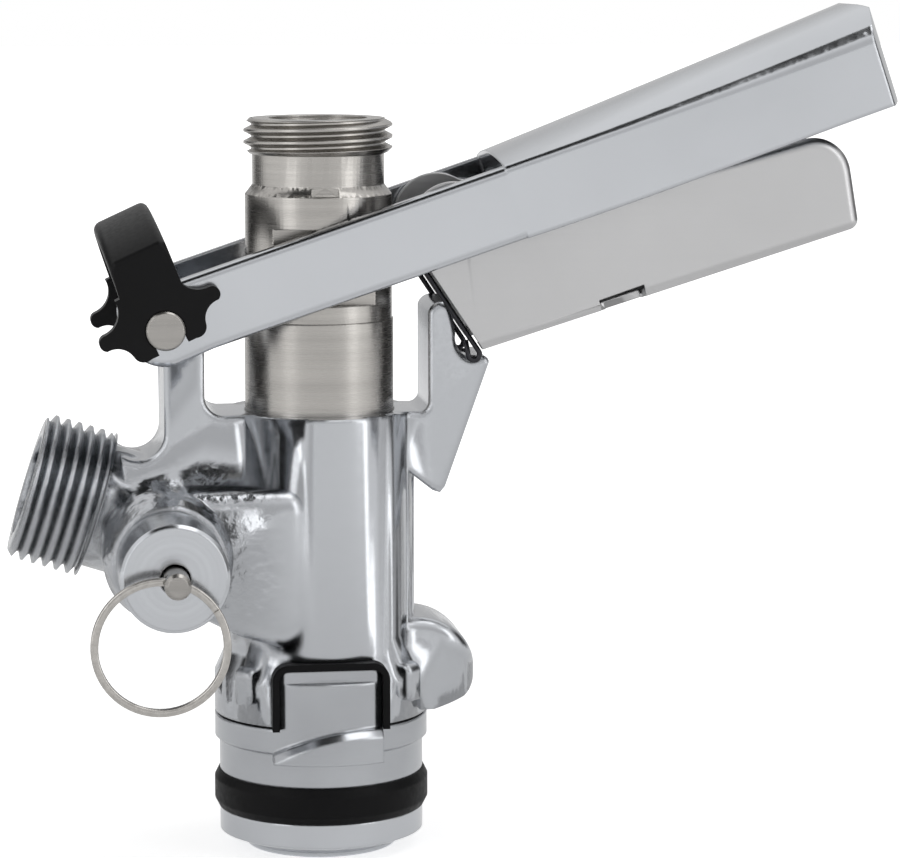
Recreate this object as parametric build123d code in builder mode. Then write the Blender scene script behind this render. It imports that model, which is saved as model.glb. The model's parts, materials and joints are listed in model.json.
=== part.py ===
"""Keg coupler with a squeeze-trigger lever, built as an assembly of separate pieces.

Millimetres. +Z is up along the probe, +X points towards the lever's grip and -Y towards the relief valve.
The origin is the centre of the bottom face, on the probe's axis. The lever is up, with the keg shut off.
"""

from build123d import *
from math import atan2, cos, radians, sin, sqrt
import os

os.makedirs("parts", exist_ok=True)

# ---------------------------------------------------------------- driving dimensions
# Shared clearances
RUNNING_FIT = 0.06  # radial, round parts that turn or slide in a bore
SIDE_PLAY = 0.3  # between flat faces that pass each other
SEAL_PLAY = 0.05  # between a seated seal and its seat

# Ports: G 5/8 parallel pipe threads, left plain at their outer diameter
PORT_THREAD_OD = 22.91
PORT_NECK_OD = 20.3
PORT_CHAMFER = 0.9
OUTLET_THREAD_LENGTH = 5.4
OUTLET_NECK_LENGTH = 4.7
INLET_THREAD_LENGTH = 11.0

# Levels along the probe's axis
COLLAR_TOP = 6.1
SEAL_TOP = 11.8
RING_STEP = 16.8
RING_TOP = 20.9
GASKET_THICKNESS = 0.4
FLANGE_TOP = 27.5
CONE_TOP = 31.8
BARREL_TOP = 68.5
SLEEVE_TOP = 82.6
SHOULDER_BOTTOM = 101.8
SHOULDER_TOP = 103.3

# Round sizes on the probe's axis
BARREL_OD = 29.4
FLANGE_OD = 33.2
RING_LOWER_OD = 31.8
COLLAR_OD = 31.8
COLLAR_LIP_OD = 23.4
COLLAR_BORE = 19.8
SEAL_SECTION = 3.2
SPIGOT_OD = 27.0
UPPER_SPIGOT_OD = 25.2
CHAMBER_BORE = 25.6
PROBE_OD = 22.6
SLEEVE_OD = 23.0
PROBE_STEM_OD = 16.0
PROBE_BORE = 9.2
OUTLET_BORE = 15.2
PROBE_SPIGOT_OD = 18.0
PROBE_SPIGOT_LENGTH = 8.5
PISTON_BOTTOM = 46.0
PROBE_TIP_Z = 3.4
TIP_LIP_OD = 18.0
TIP_SEAL_OD = 19.2
TIP_SEAL_BOTTOM = 4.4
TIP_SEAL_TOP = 9.6
TIP_LIP_TOP = 10.6
NECK_BORE = 21.0
CHAMBER_TOP = 48.0
O_RING_SECTION = 2.0
O_RING_LOW_Z = 54.0
O_RING_HIGH_Z = 63.0
COLLAR_FLOOR = 3.0
COLLAR_LIP = 0.6
COLLAR_TAPER_TOP = 2.4
UPPER_SPIGOT_TOP = 30.0
SHOULDER_NOTCH_WIDTH = 4.0

# Bayonet ring: locating tabs and locking lugs, one pair at the front and one at the back
TAB_WIDTH = 15.8
TAB_HEIGHT = 7.2
TAB_BACK_RISE = 2.0
TAB_BACK_DEPTH = 1.7
TAB_CORNER_R = 1.5
TAB_DEPTH = 3.3
TAB_GAP = 1.1
LUG_OD = 37.4
LUG_HEIGHT = 5.0
LUG_LEAD_HEIGHT = 1.3
LUG_BEVEL = 1.0
STOP_BLOCK_WIDTH = 3.4
STOP_BLOCK_HEIGHT = 5.8
STOP_BLOCK_OD = 36.4
STOP_BLOCK_ANGLE = 42.5
WING_WIDTH = 15.0
WING_REACH = 23.8
WING_TOP = 36.2
WING_CORNER_R = 5.5
WING_EDGE_R = 1.8

# Lever pivot, and the lever's angle above the horizontal at rest
PIVOT_X = -24.7
PIVOT_Z = 82.8
LEVER_ANGLE = 18.6
PIVOT_PIN_OD = 5.9
PIVOT_BOSS_OD = 11.0

# Body ears
POST_THICKNESS = 16.0
POST_WIDTH = 6.2
POST_CORNER = 3.0
EAR_THICKNESS = 14.2
EAR_INNER_X = 16.2
EAR_CORNER = 1.5
EAR_EDGE_R = 0.8

# Gas inlet, tilted up and away from the lever
INLET_TILT = 17.7
INLET_FACE_X = -45.2
INLET_FACE_Z = 57.5
INLET_NECK_OD = 19.4
INLET_MOUTH_BORE = 15.6
INLET_MOUTH_DEPTH = 12.0
INLET_PASSAGE_BORE = 10.0
INLET_PASSAGE_LENGTH = 38.0
DUCKBILL_FLANGE = 1.8
DUCKBILL_LENGTH = 9.0

# Relief valve, pointing at -Y
RELIEF_X = -24.85
RELIEF_Z = 48.8
RELIEF_FACE_Y = 37.0
RELIEF_CAP_OD = 16.0
RELIEF_CAP_LENGTH = 13.0
RELIEF_CAP_GROOVE = 0.5
RELIEF_BOSS_OD = 19.4
BULGE_OUTLINE = [(-3.2, 58.0), (-3.2, 35.4), (-6.6, 33.0), (-14.0, 35.4), (-24.0, 40.6), (-24.0, 58.0)]
BULGE_EDGE_R = 3.0
BULGE_DEPTH = 15.3
RELIEF_BOSS_END_OD = 16.8
RELIEF_BOSS_TAPER = 3.4
RELIEF_SEAT_Y = 13.0
RELIEF_CHAMBER_BORE = 12.0
RELIEF_CAP_BORE = 10.0
RELIEF_SPIGOT_LENGTH = 5.0
RELIEF_SEAT_BORE = 4.0
RELIEF_STEM_OD = 3.9
RELIEF_STEM_REACH = 6.4
RELIEF_HEAD_OD = 8.8
RELIEF_HEAD_THICKNESS = 2.0
RELIEF_SEAL_THICKNESS = 1.2
RELIEF_CAP_FACE = 2.4
RELIEF_SPRING_WIRE = 0.9
RING_OD = 20.3
RING_WIRE = 1.2
RING_HOLE_OD = 2.0
RING_LEAN = 14.5

# Lever casting
ARM_INNER = 11.7
ARM_OUTER = 14.5
ARM_END_R = 5.9
ARM_LOW = 5.4
ARM_HIGH = 6.0
ARM_EDGE_R = 1.1
ARM_LOW_EDGE_R = 0.5
WEB_START = 56.3
GRIP_END = 116.0
GRIP_END_BULGE = 3.4
GRIP_WALL = 2.6
GRIP_CROWN_START = 7.7
GRIP_CROWN_END = 11.2
GRIP_EDGE_END = 7.1
GRIP_LOW_END = 4.8
GRIP_FLARE = 0.9
GRIP_FLARE_LENGTH = 14.0
GRIP_NOSE_R = 3.6
DRIVE_STUD_OD = 7.0
DRIVE_BUSH_OD = 11.1
POCKET_HEIGHT = 11.7
POCKET_FLAT = 8.2

# Trigger: a folded sheet channel under the lever
TRIGGER_PIVOT_U = 46.7
TRIGGER_PIVOT_V = -0.4
TRIGGER_EAR_R = 6.8
TRIGGER_WIDTH = 21.8
TRIGGER_SHEET = 1.2
TRIGGER_FRONT_U = 44.9
TRIGGER_FRONT_V = -19.9
TRIGGER_REAR_U = 106.4
TRIGGER_REAR_V = -21.4
TRIGGER_REAR_TOP = -6.1
TRIGGER_REAR_LEAN = 2.4
TRIGGER_FOLD_R = 1.6
TRIGGER_CORNER_R = 6.0
TRIGGER_SLOT_U = 67.8
TRIGGER_SLOT_LENGTH = 5.8
TRIGGER_SLOT_HEIGHT = 2.1
TRIGGER_PIN_OD = 5.0
TRIGGER_PIN_COVER = 1.2
TRIGGER_EAR_PLAY = 0.5
SPRING_WIRE = 0.8
SPRING_OD = 8.3
SPRING_GAP = 0.6

# Retaining bail on the pivot pin
BAIL_TILT = 6.1
BAIL_LEG = 3.0
BAIL_BASE_WIDTH = 9.8
BAIL_TOP_WIDTH = 9.0
BAIL_TOP_SHIFT = 1.4
BAIL_SHOULDER = 12.3
BAIL_TOP = 17.2
BAIL_WALL = 2.7
BAIL_CORNER_R = 1.1
BAIL_LOBE_REACH = 9.8
BAIL_MOUTH = 4.8

# Beer-side check ball
BALL_OD = 11.2
BALL_SEAT_Z = 99.0
RETAINER_THICKNESS = 2.2
RETAINER_RECESS = 0.5
RETAINER_SPOKE = 1.8

# ---------------------------------------------------------------- worked-out places
BARREL_R = BARREL_OD / 2
CASTING_BOTTOM = RING_TOP + GASKET_THICKNESS
OUTLET_TOP = SHOULDER_TOP + OUTLET_NECK_LENGTH + OUTLET_THREAD_LENGTH
THREAD_START = SHOULDER_TOP + OUTLET_NECK_LENGTH
LEVER = Plane(
    origin=(PIVOT_X, 0, PIVOT_Z),
    x_dir=(cos(radians(LEVER_ANGLE)), 0, sin(radians(LEVER_ANGLE))),
    z_dir=(0, -1, 0),
)
INLET = Plane(
    origin=(INLET_FACE_X, 0, INLET_FACE_Z),
    x_dir=(0, 1, 0),
    z_dir=(cos(radians(INLET_TILT)), 0, -sin(radians(INLET_TILT))),
)
RELIEF = Plane(origin=(RELIEF_X, 0, RELIEF_Z), x_dir=(1, 0, 0), z_dir=(0, -1, 0))
LEVER_LINE = Axis(LEVER.origin, LEVER.x_dir)


def across_lever(u):
    """Plane square to the lever, u along it from the pivot: x is +Y, y is up off the lever."""
    return Plane(origin=LEVER.from_local_coords((u, 0, 0)), x_dir=(0, 1, 0), z_dir=LEVER.x_dir)


def finish(piece, label):
    """Name a finished piece and write its STEP file."""
    piece.part.label = label
    export_step(piece.part, f"parts/{label}.step")


# ---------------------------------------------------------------- body casting
ear_outline = [(25.5, 75.6), (18.8, 56.8), (18.0, 55.8), (16.8, 56.2), (12.0, 60.0), (0, 60.0), (0, BARREL_TOP)]
ear_reach = max(sqrt((x - PIVOT_X) ** 2 + (z - PIVOT_Z) ** 2) for x, z in ear_outline)
notch_floor = FLANGE_OD / 2 - TAB_DEPTH
notch_height = TAB_HEIGHT + TAB_BACK_RISE + TAB_GAP - GASKET_THICKNESS
notch_width = TAB_WIDTH + 2 * TAB_GAP
notch_corner = TAB_CORNER_R + TAB_GAP
boss_shoulder = RELIEF_FACE_Y - RELIEF_CAP_LENGTH - RELIEF_BOSS_TAPER

# Pivot post: a plate that runs out of the barrel and up to the pivot boss
with BuildPart() as pivot_post:
    post_left = PIVOT_X + 0.2
    post_right = post_left + POST_WIDTH
    with BuildSketch(Plane.XZ):
        with BuildLine():
            Line((0, BARREL_TOP), (post_right + POST_CORNER, BARREL_TOP))
            RadiusArc(
                (post_right + POST_CORNER, BARREL_TOP), (post_right, BARREL_TOP + POST_CORNER), POST_CORNER
            )
            Polyline((post_right, BARREL_TOP + POST_CORNER), (post_right, PIVOT_Z), (post_left, PIVOT_Z))
            Line((post_left, PIVOT_Z), (post_left, 65.8))
            ThreePointArc((post_left, 65.8), (-28.0, 61.9), (-31.0, 62.6))
            Polyline((-31.0, 62.6), (-31.0, 48.0), (0, 45.0), (0, BARREL_TOP))
        make_face()
    extrude(amount=POST_THICKNESS / 2, both=True)
    fillet(edges().filter_by(Axis.Y, reverse=True), EAR_EDGE_R)

# Latch ear: its outer edge follows the trigger's sweep, its notch stands over the trigger's front edge
with BuildPart() as latch_ear:
    with BuildSketch(Plane.XZ):
        with BuildLine():
            Line((0, BARREL_TOP), (EAR_INNER_X - EAR_CORNER, BARREL_TOP))
            RadiusArc(
                (EAR_INNER_X - EAR_CORNER, BARREL_TOP), (EAR_INNER_X, BARREL_TOP + EAR_CORNER), -EAR_CORNER
            )
            Line((EAR_INNER_X, BARREL_TOP + EAR_CORNER), (EAR_INNER_X, 83.9))
            ThreePointArc((EAR_INNER_X, 83.9), (17.1, 85.1), (18.7, 85.4))
            ThreePointArc((18.7, 85.4), (19.5, 85.2), (19.8, 84.4))
            Line((19.8, 84.4), (20.4, 80.4))
            ThreePointArc((20.4, 80.4), (21.0, 77.9), (23.0, 76.6))
            Line((23.0, 76.6), (24.6, 76.9))
            ThreePointArc((24.6, 76.9), (25.4, 76.6), ear_outline[0])
            Polyline(*ear_outline)
        make_face()
    extrude(amount=EAR_THICKNESS / 2, both=True)
    fillet(edges().filter_by(Axis.Y, reverse=True), EAR_EDGE_R)

# Wing at the base, under the lever: a tongue with a rounded back and rounded edges
with BuildPart() as base_wing:
    with BuildSketch(Plane.XY.offset(CASTING_BOTTOM)):
        Rectangle(2 * WING_REACH, WING_WIDTH)
        fillet(vertices(), WING_CORNER_R)
    extrude(amount=BARREL_TOP - CASTING_BOTTOM)
    with BuildSketch(Plane.XZ):
        with BuildLine():
            Polyline((15.2, WING_TOP), (10, WING_TOP), (10, CASTING_BOTTOM + 0.4), (17, CASTING_BOTTOM + 0.6))
            Line((17, CASTING_BOTTOM + 0.6), (21.8, 23.6))
            ThreePointArc((21.8, 23.6), (23.3, 25.2), (WING_REACH, 28.0))
            ThreePointArc((WING_REACH, 28.0), (21.2, 33.4), (15.2, WING_TOP))
        make_face()
    extrude(amount=WING_WIDTH, both=True, mode=Mode.INTERSECT)
    fillet(edges().filter_by_position(Axis.Z, 28.5, WING_TOP).filter_by_position(Axis.X, 14, WING_REACH), WING_EDGE_R)

# Stop block beside each notch: a rounded stub with a gusset up to the barrel
with BuildPart() as stop_block:
    with BuildSketch(Plane.XZ):
        with BuildLine():
            block_low = CASTING_BOTTOM + 3.2
            block_top = block_low + STOP_BLOCK_HEIGHT
            block_end = STOP_BLOCK_OD / 2
            Polyline(
                (BARREL_R - 2, block_low),
                (block_end, block_low),
                (block_end, block_top),
                (block_end - 2.0, block_top),
                (BARREL_R, block_top + 3.6),
                (BARREL_R - 2, block_top + 3.6),
                close=True,
            )
        make_face()
        fillet(vertices().group_by(Axis.X)[-1].sort_by(Axis.Y)[-1], 1.4)
    extrude(amount=STOP_BLOCK_WIDTH / 2, both=True)
    fillet(edges().filter_by(Axis.Y, reverse=True).filter_by_position(Axis.X, BARREL_R - 1, block_end), 0.7)

# Gas passage's bulge on the barrel, behind the relief valve
with BuildPart() as passage_bulge:
    with BuildSketch(Plane.XZ):
        with BuildLine():
            Polyline(*BULGE_OUTLINE, close=True)
        make_face()
        fillet(vertices(), BULGE_EDGE_R + 0.4)
    extrude(amount=BULGE_DEPTH)
    fillet(faces().sort_by(Axis.Y)[0].edges(), BULGE_EDGE_R)

with BuildPart() as body_casting:
    # Barrel with its flange, and the pieces that grow out of it
    with BuildSketch(Plane.XZ):
        with BuildLine():
            Polyline(
                (0, CASTING_BOTTOM),
                (FLANGE_OD / 2, CASTING_BOTTOM),
                (FLANGE_OD / 2, FLANGE_TOP),
                (BARREL_R, CONE_TOP),
                (BARREL_R, BARREL_TOP),
                (0, BARREL_TOP),
                close=True,
            )
        make_face()
    revolve(axis=Axis.Z)
    add(pivot_post.part)
    add(latch_ear.part)
    add(base_wing.part)
    with BuildSketch(Plane.XZ):
        with Locations((PIVOT_X, PIVOT_Z)):
            Circle(PIVOT_BOSS_OD / 2)
    extrude(amount=ARM_INNER - SIDE_PLAY, both=True)

    # Gas inlet with its plain thread and its neck
    with BuildSketch(INLET):
        Circle(PORT_THREAD_OD / 2)
    extrude(amount=INLET_THREAD_LENGTH)
    chamfer(edges().filter_by(GeomType.CIRCLE).sort_by(Axis.X)[0], PORT_CHAMFER)
    with BuildSketch(INLET.offset(INLET_THREAD_LENGTH)):
        Circle(INLET_NECK_OD / 2)
    extrude(amount=INLET_PASSAGE_LENGTH - INLET_THREAD_LENGTH - 4)

    # Relief boss with its tapered nose
    with BuildSketch(RELIEF):
        Circle(RELIEF_BOSS_OD / 2)
    extrude(amount=boss_shoulder)
    with BuildSketch(RELIEF.offset(boss_shoulder)):
        Circle(RELIEF_BOSS_OD / 2)
    with BuildSketch(RELIEF.offset(RELIEF_FACE_Y - RELIEF_CAP_LENGTH)):
        Circle(RELIEF_BOSS_END_OD / 2)
    loft()
    add(passage_bulge.part)
    for angle in (STOP_BLOCK_ANGLE, 180 - STOP_BLOCK_ANGLE, 180 + STOP_BLOCK_ANGLE, -STOP_BLOCK_ANGLE):
        add(stop_block.part.rotate(Axis.Z, angle))

    # Guide bore with its seal grooves, gas chamber and the notches for the ring's tabs
    with BuildSketch(Plane.XY.offset(BARREL_TOP)):
        Circle(SLEEVE_OD / 2 + RUNNING_FIT)
    extrude(amount=CASTING_BOTTOM - BARREL_TOP, mode=Mode.SUBTRACT)
    with BuildSketch(Plane.XY.offset(CASTING_BOTTOM)):
        Circle(CHAMBER_BORE / 2)
    extrude(amount=CHAMBER_TOP - CASTING_BOTTOM, mode=Mode.SUBTRACT)
    for groove_z in (O_RING_LOW_Z, O_RING_HIGH_Z):
        with BuildSketch(Plane.XY.offset(groove_z - O_RING_SECTION / 2 - SEAL_PLAY)):
            Circle(SLEEVE_OD / 2 + RUNNING_FIT + O_RING_SECTION)
        extrude(amount=O_RING_SECTION + 2 * SEAL_PLAY, mode=Mode.SUBTRACT)
    for side in (-1, 1):
        with BuildSketch(Plane.XZ.offset(side * notch_floor)):
            with Locations((0, CASTING_BOTTOM)):
                Rectangle(notch_width, notch_height, align=(Align.CENTER, Align.MIN))
            fillet(vertices().group_by(Axis.Y)[-1], notch_corner)
        extrude(amount=side * FLANGE_OD, mode=Mode.SUBTRACT)

    # Inlet mouth and passage, relief chamber and seat, pivot pin's hole
    with BuildSketch(INLET):
        Circle(INLET_MOUTH_BORE / 2)
    extrude(amount=INLET_MOUTH_DEPTH, mode=Mode.SUBTRACT)
    with BuildSketch(INLET):
        Circle(INLET_PASSAGE_BORE / 2)
    extrude(amount=INLET_PASSAGE_LENGTH, mode=Mode.SUBTRACT)
    with BuildSketch(RELIEF.offset(RELIEF_SEAT_Y)):
        Circle(RELIEF_CHAMBER_BORE / 2)
    extrude(amount=RELIEF_FACE_Y, mode=Mode.SUBTRACT)
    with BuildSketch(RELIEF):
        Circle(RELIEF_SEAT_BORE / 2)
    extrude(amount=RELIEF_FACE_Y, mode=Mode.SUBTRACT)
    with BuildSketch(Plane.XZ):
        with Locations((PIVOT_X, PIVOT_Z)):
            Circle(PIVOT_PIN_OD / 2)
    extrude(amount=ARM_OUTER, both=True, mode=Mode.SUBTRACT)

finish(body_casting, "body_casting")

# ---------------------------------------------------------------- bayonet ring
with BuildPart() as lug:
    with BuildSketch(Plane.XZ.offset(SPIGOT_OD / 2)):
        with BuildLine():
            lug_low = RING_STEP - 0.9
            lug_top = lug_low + LUG_HEIGHT
            Polyline((-TAB_WIDTH / 2 - 1, lug_low), (TAB_WIDTH / 2, lug_low), (TAB_WIDTH / 2, lug_top))
            ThreePointArc(
                (TAB_WIDTH / 2, lug_top),
                (-TAB_WIDTH / 8, lug_top - 0.9),
                (-TAB_WIDTH / 2 - 1, lug_low + LUG_LEAD_HEIGHT),
            )
            Line((-TAB_WIDTH / 2 - 1, lug_low + LUG_LEAD_HEIGHT), (-TAB_WIDTH / 2 - 1, lug_low))
        make_face()
    extrude(amount=LUG_OD)
    with BuildSketch(Plane.XY):
        Circle(LUG_OD / 2)
    extrude(amount=BARREL_TOP, mode=Mode.INTERSECT)
    chamfer(faces().sort_by(Axis.Z)[-1].edges().sort_by(Axis.Y)[0], LUG_BEVEL)

with BuildPart() as bayonet_ring:
    with BuildSketch(Plane.XZ):
        with BuildLine():
            Polyline(
                (NECK_BORE / 2, COLLAR_FLOOR),
                (SPIGOT_OD / 2, COLLAR_FLOOR),
                (SPIGOT_OD / 2, SEAL_TOP),
                (RING_LOWER_OD / 2, SEAL_TOP),
                (RING_LOWER_OD / 2, RING_STEP),
                (FLANGE_OD / 2, RING_STEP + 0.5),
                (FLANGE_OD / 2, RING_TOP),
                (UPPER_SPIGOT_OD / 2, RING_TOP),
                (UPPER_SPIGOT_OD / 2, UPPER_SPIGOT_TOP),
                (NECK_BORE / 2, UPPER_SPIGOT_TOP),
                close=True,
            )
        make_face()
    revolve(axis=Axis.Z)
    # Tabs: a square front plate and a higher back with rounded corners
    tab_front = RING_TOP + TAB_HEIGHT
    tab_back = tab_front + TAB_BACK_RISE
    for side in (-1, 1):
        with BuildSketch(Plane.XZ.offset(side * (notch_floor + SEAL_PLAY))):
            with Locations((0, RING_TOP - 1)):
                Rectangle(TAB_WIDTH, tab_back - RING_TOP + 1, align=(Align.CENTER, Align.MIN))
            fillet(vertices().group_by(Axis.Y)[-1], TAB_CORNER_R)
        extrude(amount=side * TAB_BACK_DEPTH)
        with BuildSketch(Plane.XZ.offset(side * (notch_floor + TAB_BACK_DEPTH))):
            with Locations((0, RING_TOP - 1)):
                Rectangle(TAB_WIDTH, TAB_HEIGHT + 1, align=(Align.CENTER, Align.MIN))
        extrude(amount=side * FLANGE_OD / 2)
    with BuildSketch(Plane.XY):
        Circle(FLANGE_OD / 2)
    extrude(amount=BARREL_TOP, mode=Mode.INTERSECT)
    add(lug.part)
    add(lug.part.rotate(Axis.Z, 180))
finish(bayonet_ring, "bayonet_ring")

# ---------------------------------------------------------------- seals and collar at the base
with BuildPart() as ring_gasket:
    with BuildSketch(Plane.XY.offset(RING_TOP)):
        Circle(FLANGE_OD / 2 - 0.3)
        Circle(CHAMBER_BORE / 2, mode=Mode.SUBTRACT)
        Rectangle(TAB_WIDTH + 2 * SEAL_PLAY, FLANGE_OD, mode=Mode.SUBTRACT)
    extrude(amount=GASKET_THICKNESS)
    for side in (-1, 1):
        with BuildSketch(Plane.XZ.offset(side * (notch_floor + SEAL_PLAY))):
            with Locations((0, RING_TOP)):
                Rectangle(notch_width, notch_height + GASKET_THICKNESS, align=(Align.CENTER, Align.MIN))
            fillet(vertices().group_by(Axis.Y)[-1], notch_corner)
        extrude(amount=side * (TAB_DEPTH - SEAL_PLAY - 0.6))
        with BuildSketch(Plane.XZ.offset(side * notch_floor)):
            with Locations((0, RING_TOP)):
                Rectangle(
                    TAB_WIDTH + 2 * SEAL_PLAY,
                    TAB_HEIGHT + TAB_BACK_RISE + SEAL_PLAY,
                    align=(Align.CENTER, Align.MIN),
                )
            fillet(vertices().group_by(Axis.Y)[-1], TAB_CORNER_R)
        extrude(amount=side * FLANGE_OD / 2, mode=Mode.SUBTRACT)
finish(ring_gasket, "ring_gasket")

with BuildPart() as main_seal:
    with BuildSketch(Plane.XZ):
        with BuildLine():
            Polyline(
                (SPIGOT_OD / 2, COLLAR_TOP),
                (COLLAR_OD / 2 + 0.2, COLLAR_TOP),
                (SPIGOT_OD / 2 + SEAL_SECTION, COLLAR_TOP + 1.2),
                (SPIGOT_OD / 2 + SEAL_SECTION, SEAL_TOP - 1.2),
                (COLLAR_OD / 2 + 0.2, SEAL_TOP),
                (SPIGOT_OD / 2, SEAL_TOP),
                close=True,
            )
        make_face()
    revolve(axis=Axis.Z)
finish(main_seal, "main_seal")

with BuildPart() as seal_retainer:
    with BuildSketch(Plane.XZ):
        with BuildLine():
            Polyline(
                (COLLAR_BORE / 2, 0),
                (COLLAR_LIP_OD / 2, 0),
                (COLLAR_LIP_OD / 2, COLLAR_LIP),
                (COLLAR_OD / 2, COLLAR_TAPER_TOP),
                (COLLAR_OD / 2, COLLAR_TOP),
                (SPIGOT_OD / 2, COLLAR_TOP),
                (SPIGOT_OD / 2, COLLAR_FLOOR),
                (COLLAR_BORE / 2, COLLAR_FLOOR),
                close=True,
            )
        make_face()
    revolve(axis=Axis.Z)
finish(seal_retainer, "seal_retainer")

with BuildPart() as guide_o_rings:
    with BuildSketch(Plane.XZ):
        for ring_z in (O_RING_LOW_Z, O_RING_HIGH_Z):
            with Locations((SLEEVE_OD / 2 + RUNNING_FIT + O_RING_SECTION / 2, ring_z)):
                RegularPolygon(O_RING_SECTION / 2 - SEAL_PLAY, 8)
    revolve(axis=Axis.Z)
finish(guide_o_rings, "guide_o_rings")

# ---------------------------------------------------------------- gas side
with BuildPart() as gas_duckbill:
    with BuildSketch(INLET.offset(INLET_MOUTH_DEPTH - DUCKBILL_FLANGE)):
        Circle(INLET_MOUTH_BORE / 2 - SEAL_PLAY)
    extrude(amount=DUCKBILL_FLANGE)
    bill_start = INLET.offset(INLET_MOUTH_DEPTH)
    with BuildSketch(bill_start):
        Circle(INLET_PASSAGE_BORE / 2 - 0.3)
    with BuildSketch(bill_start.offset(DUCKBILL_LENGTH)):
        Ellipse(INLET_PASSAGE_BORE / 2 - 0.8, 0.8)
    loft()
    with BuildSketch(INLET.offset(INLET_MOUTH_DEPTH - DUCKBILL_FLANGE)):
        Circle(INLET_PASSAGE_BORE / 2 - 1.4)
    extrude(amount=DUCKBILL_FLANGE + 2, mode=Mode.SUBTRACT)
finish(gas_duckbill, "gas_duckbill")

# ---------------------------------------------------------------- relief valve
cap_start = RELIEF_FACE_Y - RELIEF_CAP_LENGTH
head_back = RELIEF_SEAT_Y + RELIEF_SEAL_THICKNESS
head_front = head_back + RELIEF_HEAD_THICKNESS
ring_hole_y = RELIEF_FACE_Y + RELIEF_STEM_REACH - 2.9

with BuildPart() as relief_cap:
    with BuildSketch(RELIEF.offset(cap_start)):
        Circle(RELIEF_CAP_OD / 2)
    extrude(amount=RELIEF_CAP_LENGTH)
    chamfer(edges().sort_by(Axis.Y)[0], 0.5)
    with BuildSketch(RELIEF.offset(cap_start)):
        Circle(RELIEF_CAP_OD / 2)
        Circle(RELIEF_CAP_OD / 2 - RELIEF_CAP_GROOVE, mode=Mode.SUBTRACT)
    extrude(amount=2 * RELIEF_CAP_GROOVE, mode=Mode.SUBTRACT)
    with BuildSketch(RELIEF.offset(cap_start)):
        Circle(RELIEF_CHAMBER_BORE / 2)
    extrude(amount=-RELIEF_SPIGOT_LENGTH)
    with BuildSketch(RELIEF.offset(cap_start - RELIEF_SPIGOT_LENGTH)):
        Circle(RELIEF_CAP_BORE / 2)
    extrude(amount=RELIEF_SPIGOT_LENGTH + RELIEF_CAP_LENGTH - RELIEF_CAP_FACE, mode=Mode.SUBTRACT)
    with BuildSketch(RELIEF.offset(cap_start)):
        Circle(RELIEF_STEM_OD / 2 + SIDE_PLAY)
    extrude(amount=RELIEF_CAP_LENGTH, mode=Mode.SUBTRACT)
finish(relief_cap, "relief_cap")

with BuildPart() as relief_stem:
    with BuildSketch(RELIEF.offset(head_back)):
        Circle(RELIEF_HEAD_OD / 2)
    extrude(amount=RELIEF_HEAD_THICKNESS)
    with BuildSketch(RELIEF.offset(head_front)):
        Circle(RELIEF_STEM_OD / 2)
    extrude(amount=RELIEF_FACE_Y + RELIEF_STEM_REACH - head_front)
    chamfer(edges().sort_by(Axis.Y)[0], 0.5)
    with Locations(Location((RELIEF_X, -ring_hole_y, RELIEF_Z), (0, 90 + RING_LEAN, 0))):
        Cylinder(RING_HOLE_OD / 2, RELIEF_STEM_OD * 2, mode=Mode.SUBTRACT)
finish(relief_stem, "relief_stem")

with BuildPart() as relief_seal:
    with BuildSketch(RELIEF.offset(RELIEF_SEAT_Y + SEAL_PLAY)):
        Circle(RELIEF_HEAD_OD / 2 - 0.4)
    extrude(amount=RELIEF_SEAL_THICKNESS - SEAL_PLAY)
finish(relief_seal, "relief_seal")

spring_length = RELIEF_FACE_Y - RELIEF_CAP_FACE - head_front
with BuildPart() as relief_spring:
    coil_r = RELIEF_CAP_BORE / 2 - 0.8 - RELIEF_SPRING_WIRE / 2
    with BuildSketch(RELIEF.offset(head_front)):
        Circle(coil_r + RELIEF_SPRING_WIRE / 2)
        Circle(coil_r - RELIEF_SPRING_WIRE / 2, mode=Mode.SUBTRACT)
    extrude(amount=spring_length)
finish(relief_spring, "relief_spring")

with BuildPart() as split_ring:
    ring_r = (RING_OD - RING_WIRE) / 2
    ring_centre = Vector(RELIEF_X, -ring_hole_y, RELIEF_Z) - Vector(
        ring_r * sin(radians(RING_LEAN)), 0, ring_r * cos(radians(RING_LEAN))
    )
    with BuildSketch(Plane(ring_centre)):
        with Locations((ring_r, 0)):
            Circle(RING_WIRE / 2)
    revolve(axis=Axis(ring_centre, (0, 1, 0)))
finish(split_ring, "split_ring")

# ---------------------------------------------------------------- probe
drive_u = -PIVOT_X / cos(radians(LEVER_ANGLE))
drive_z = PIVOT_Z + drive_u * sin(radians(LEVER_ANGLE))

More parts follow.
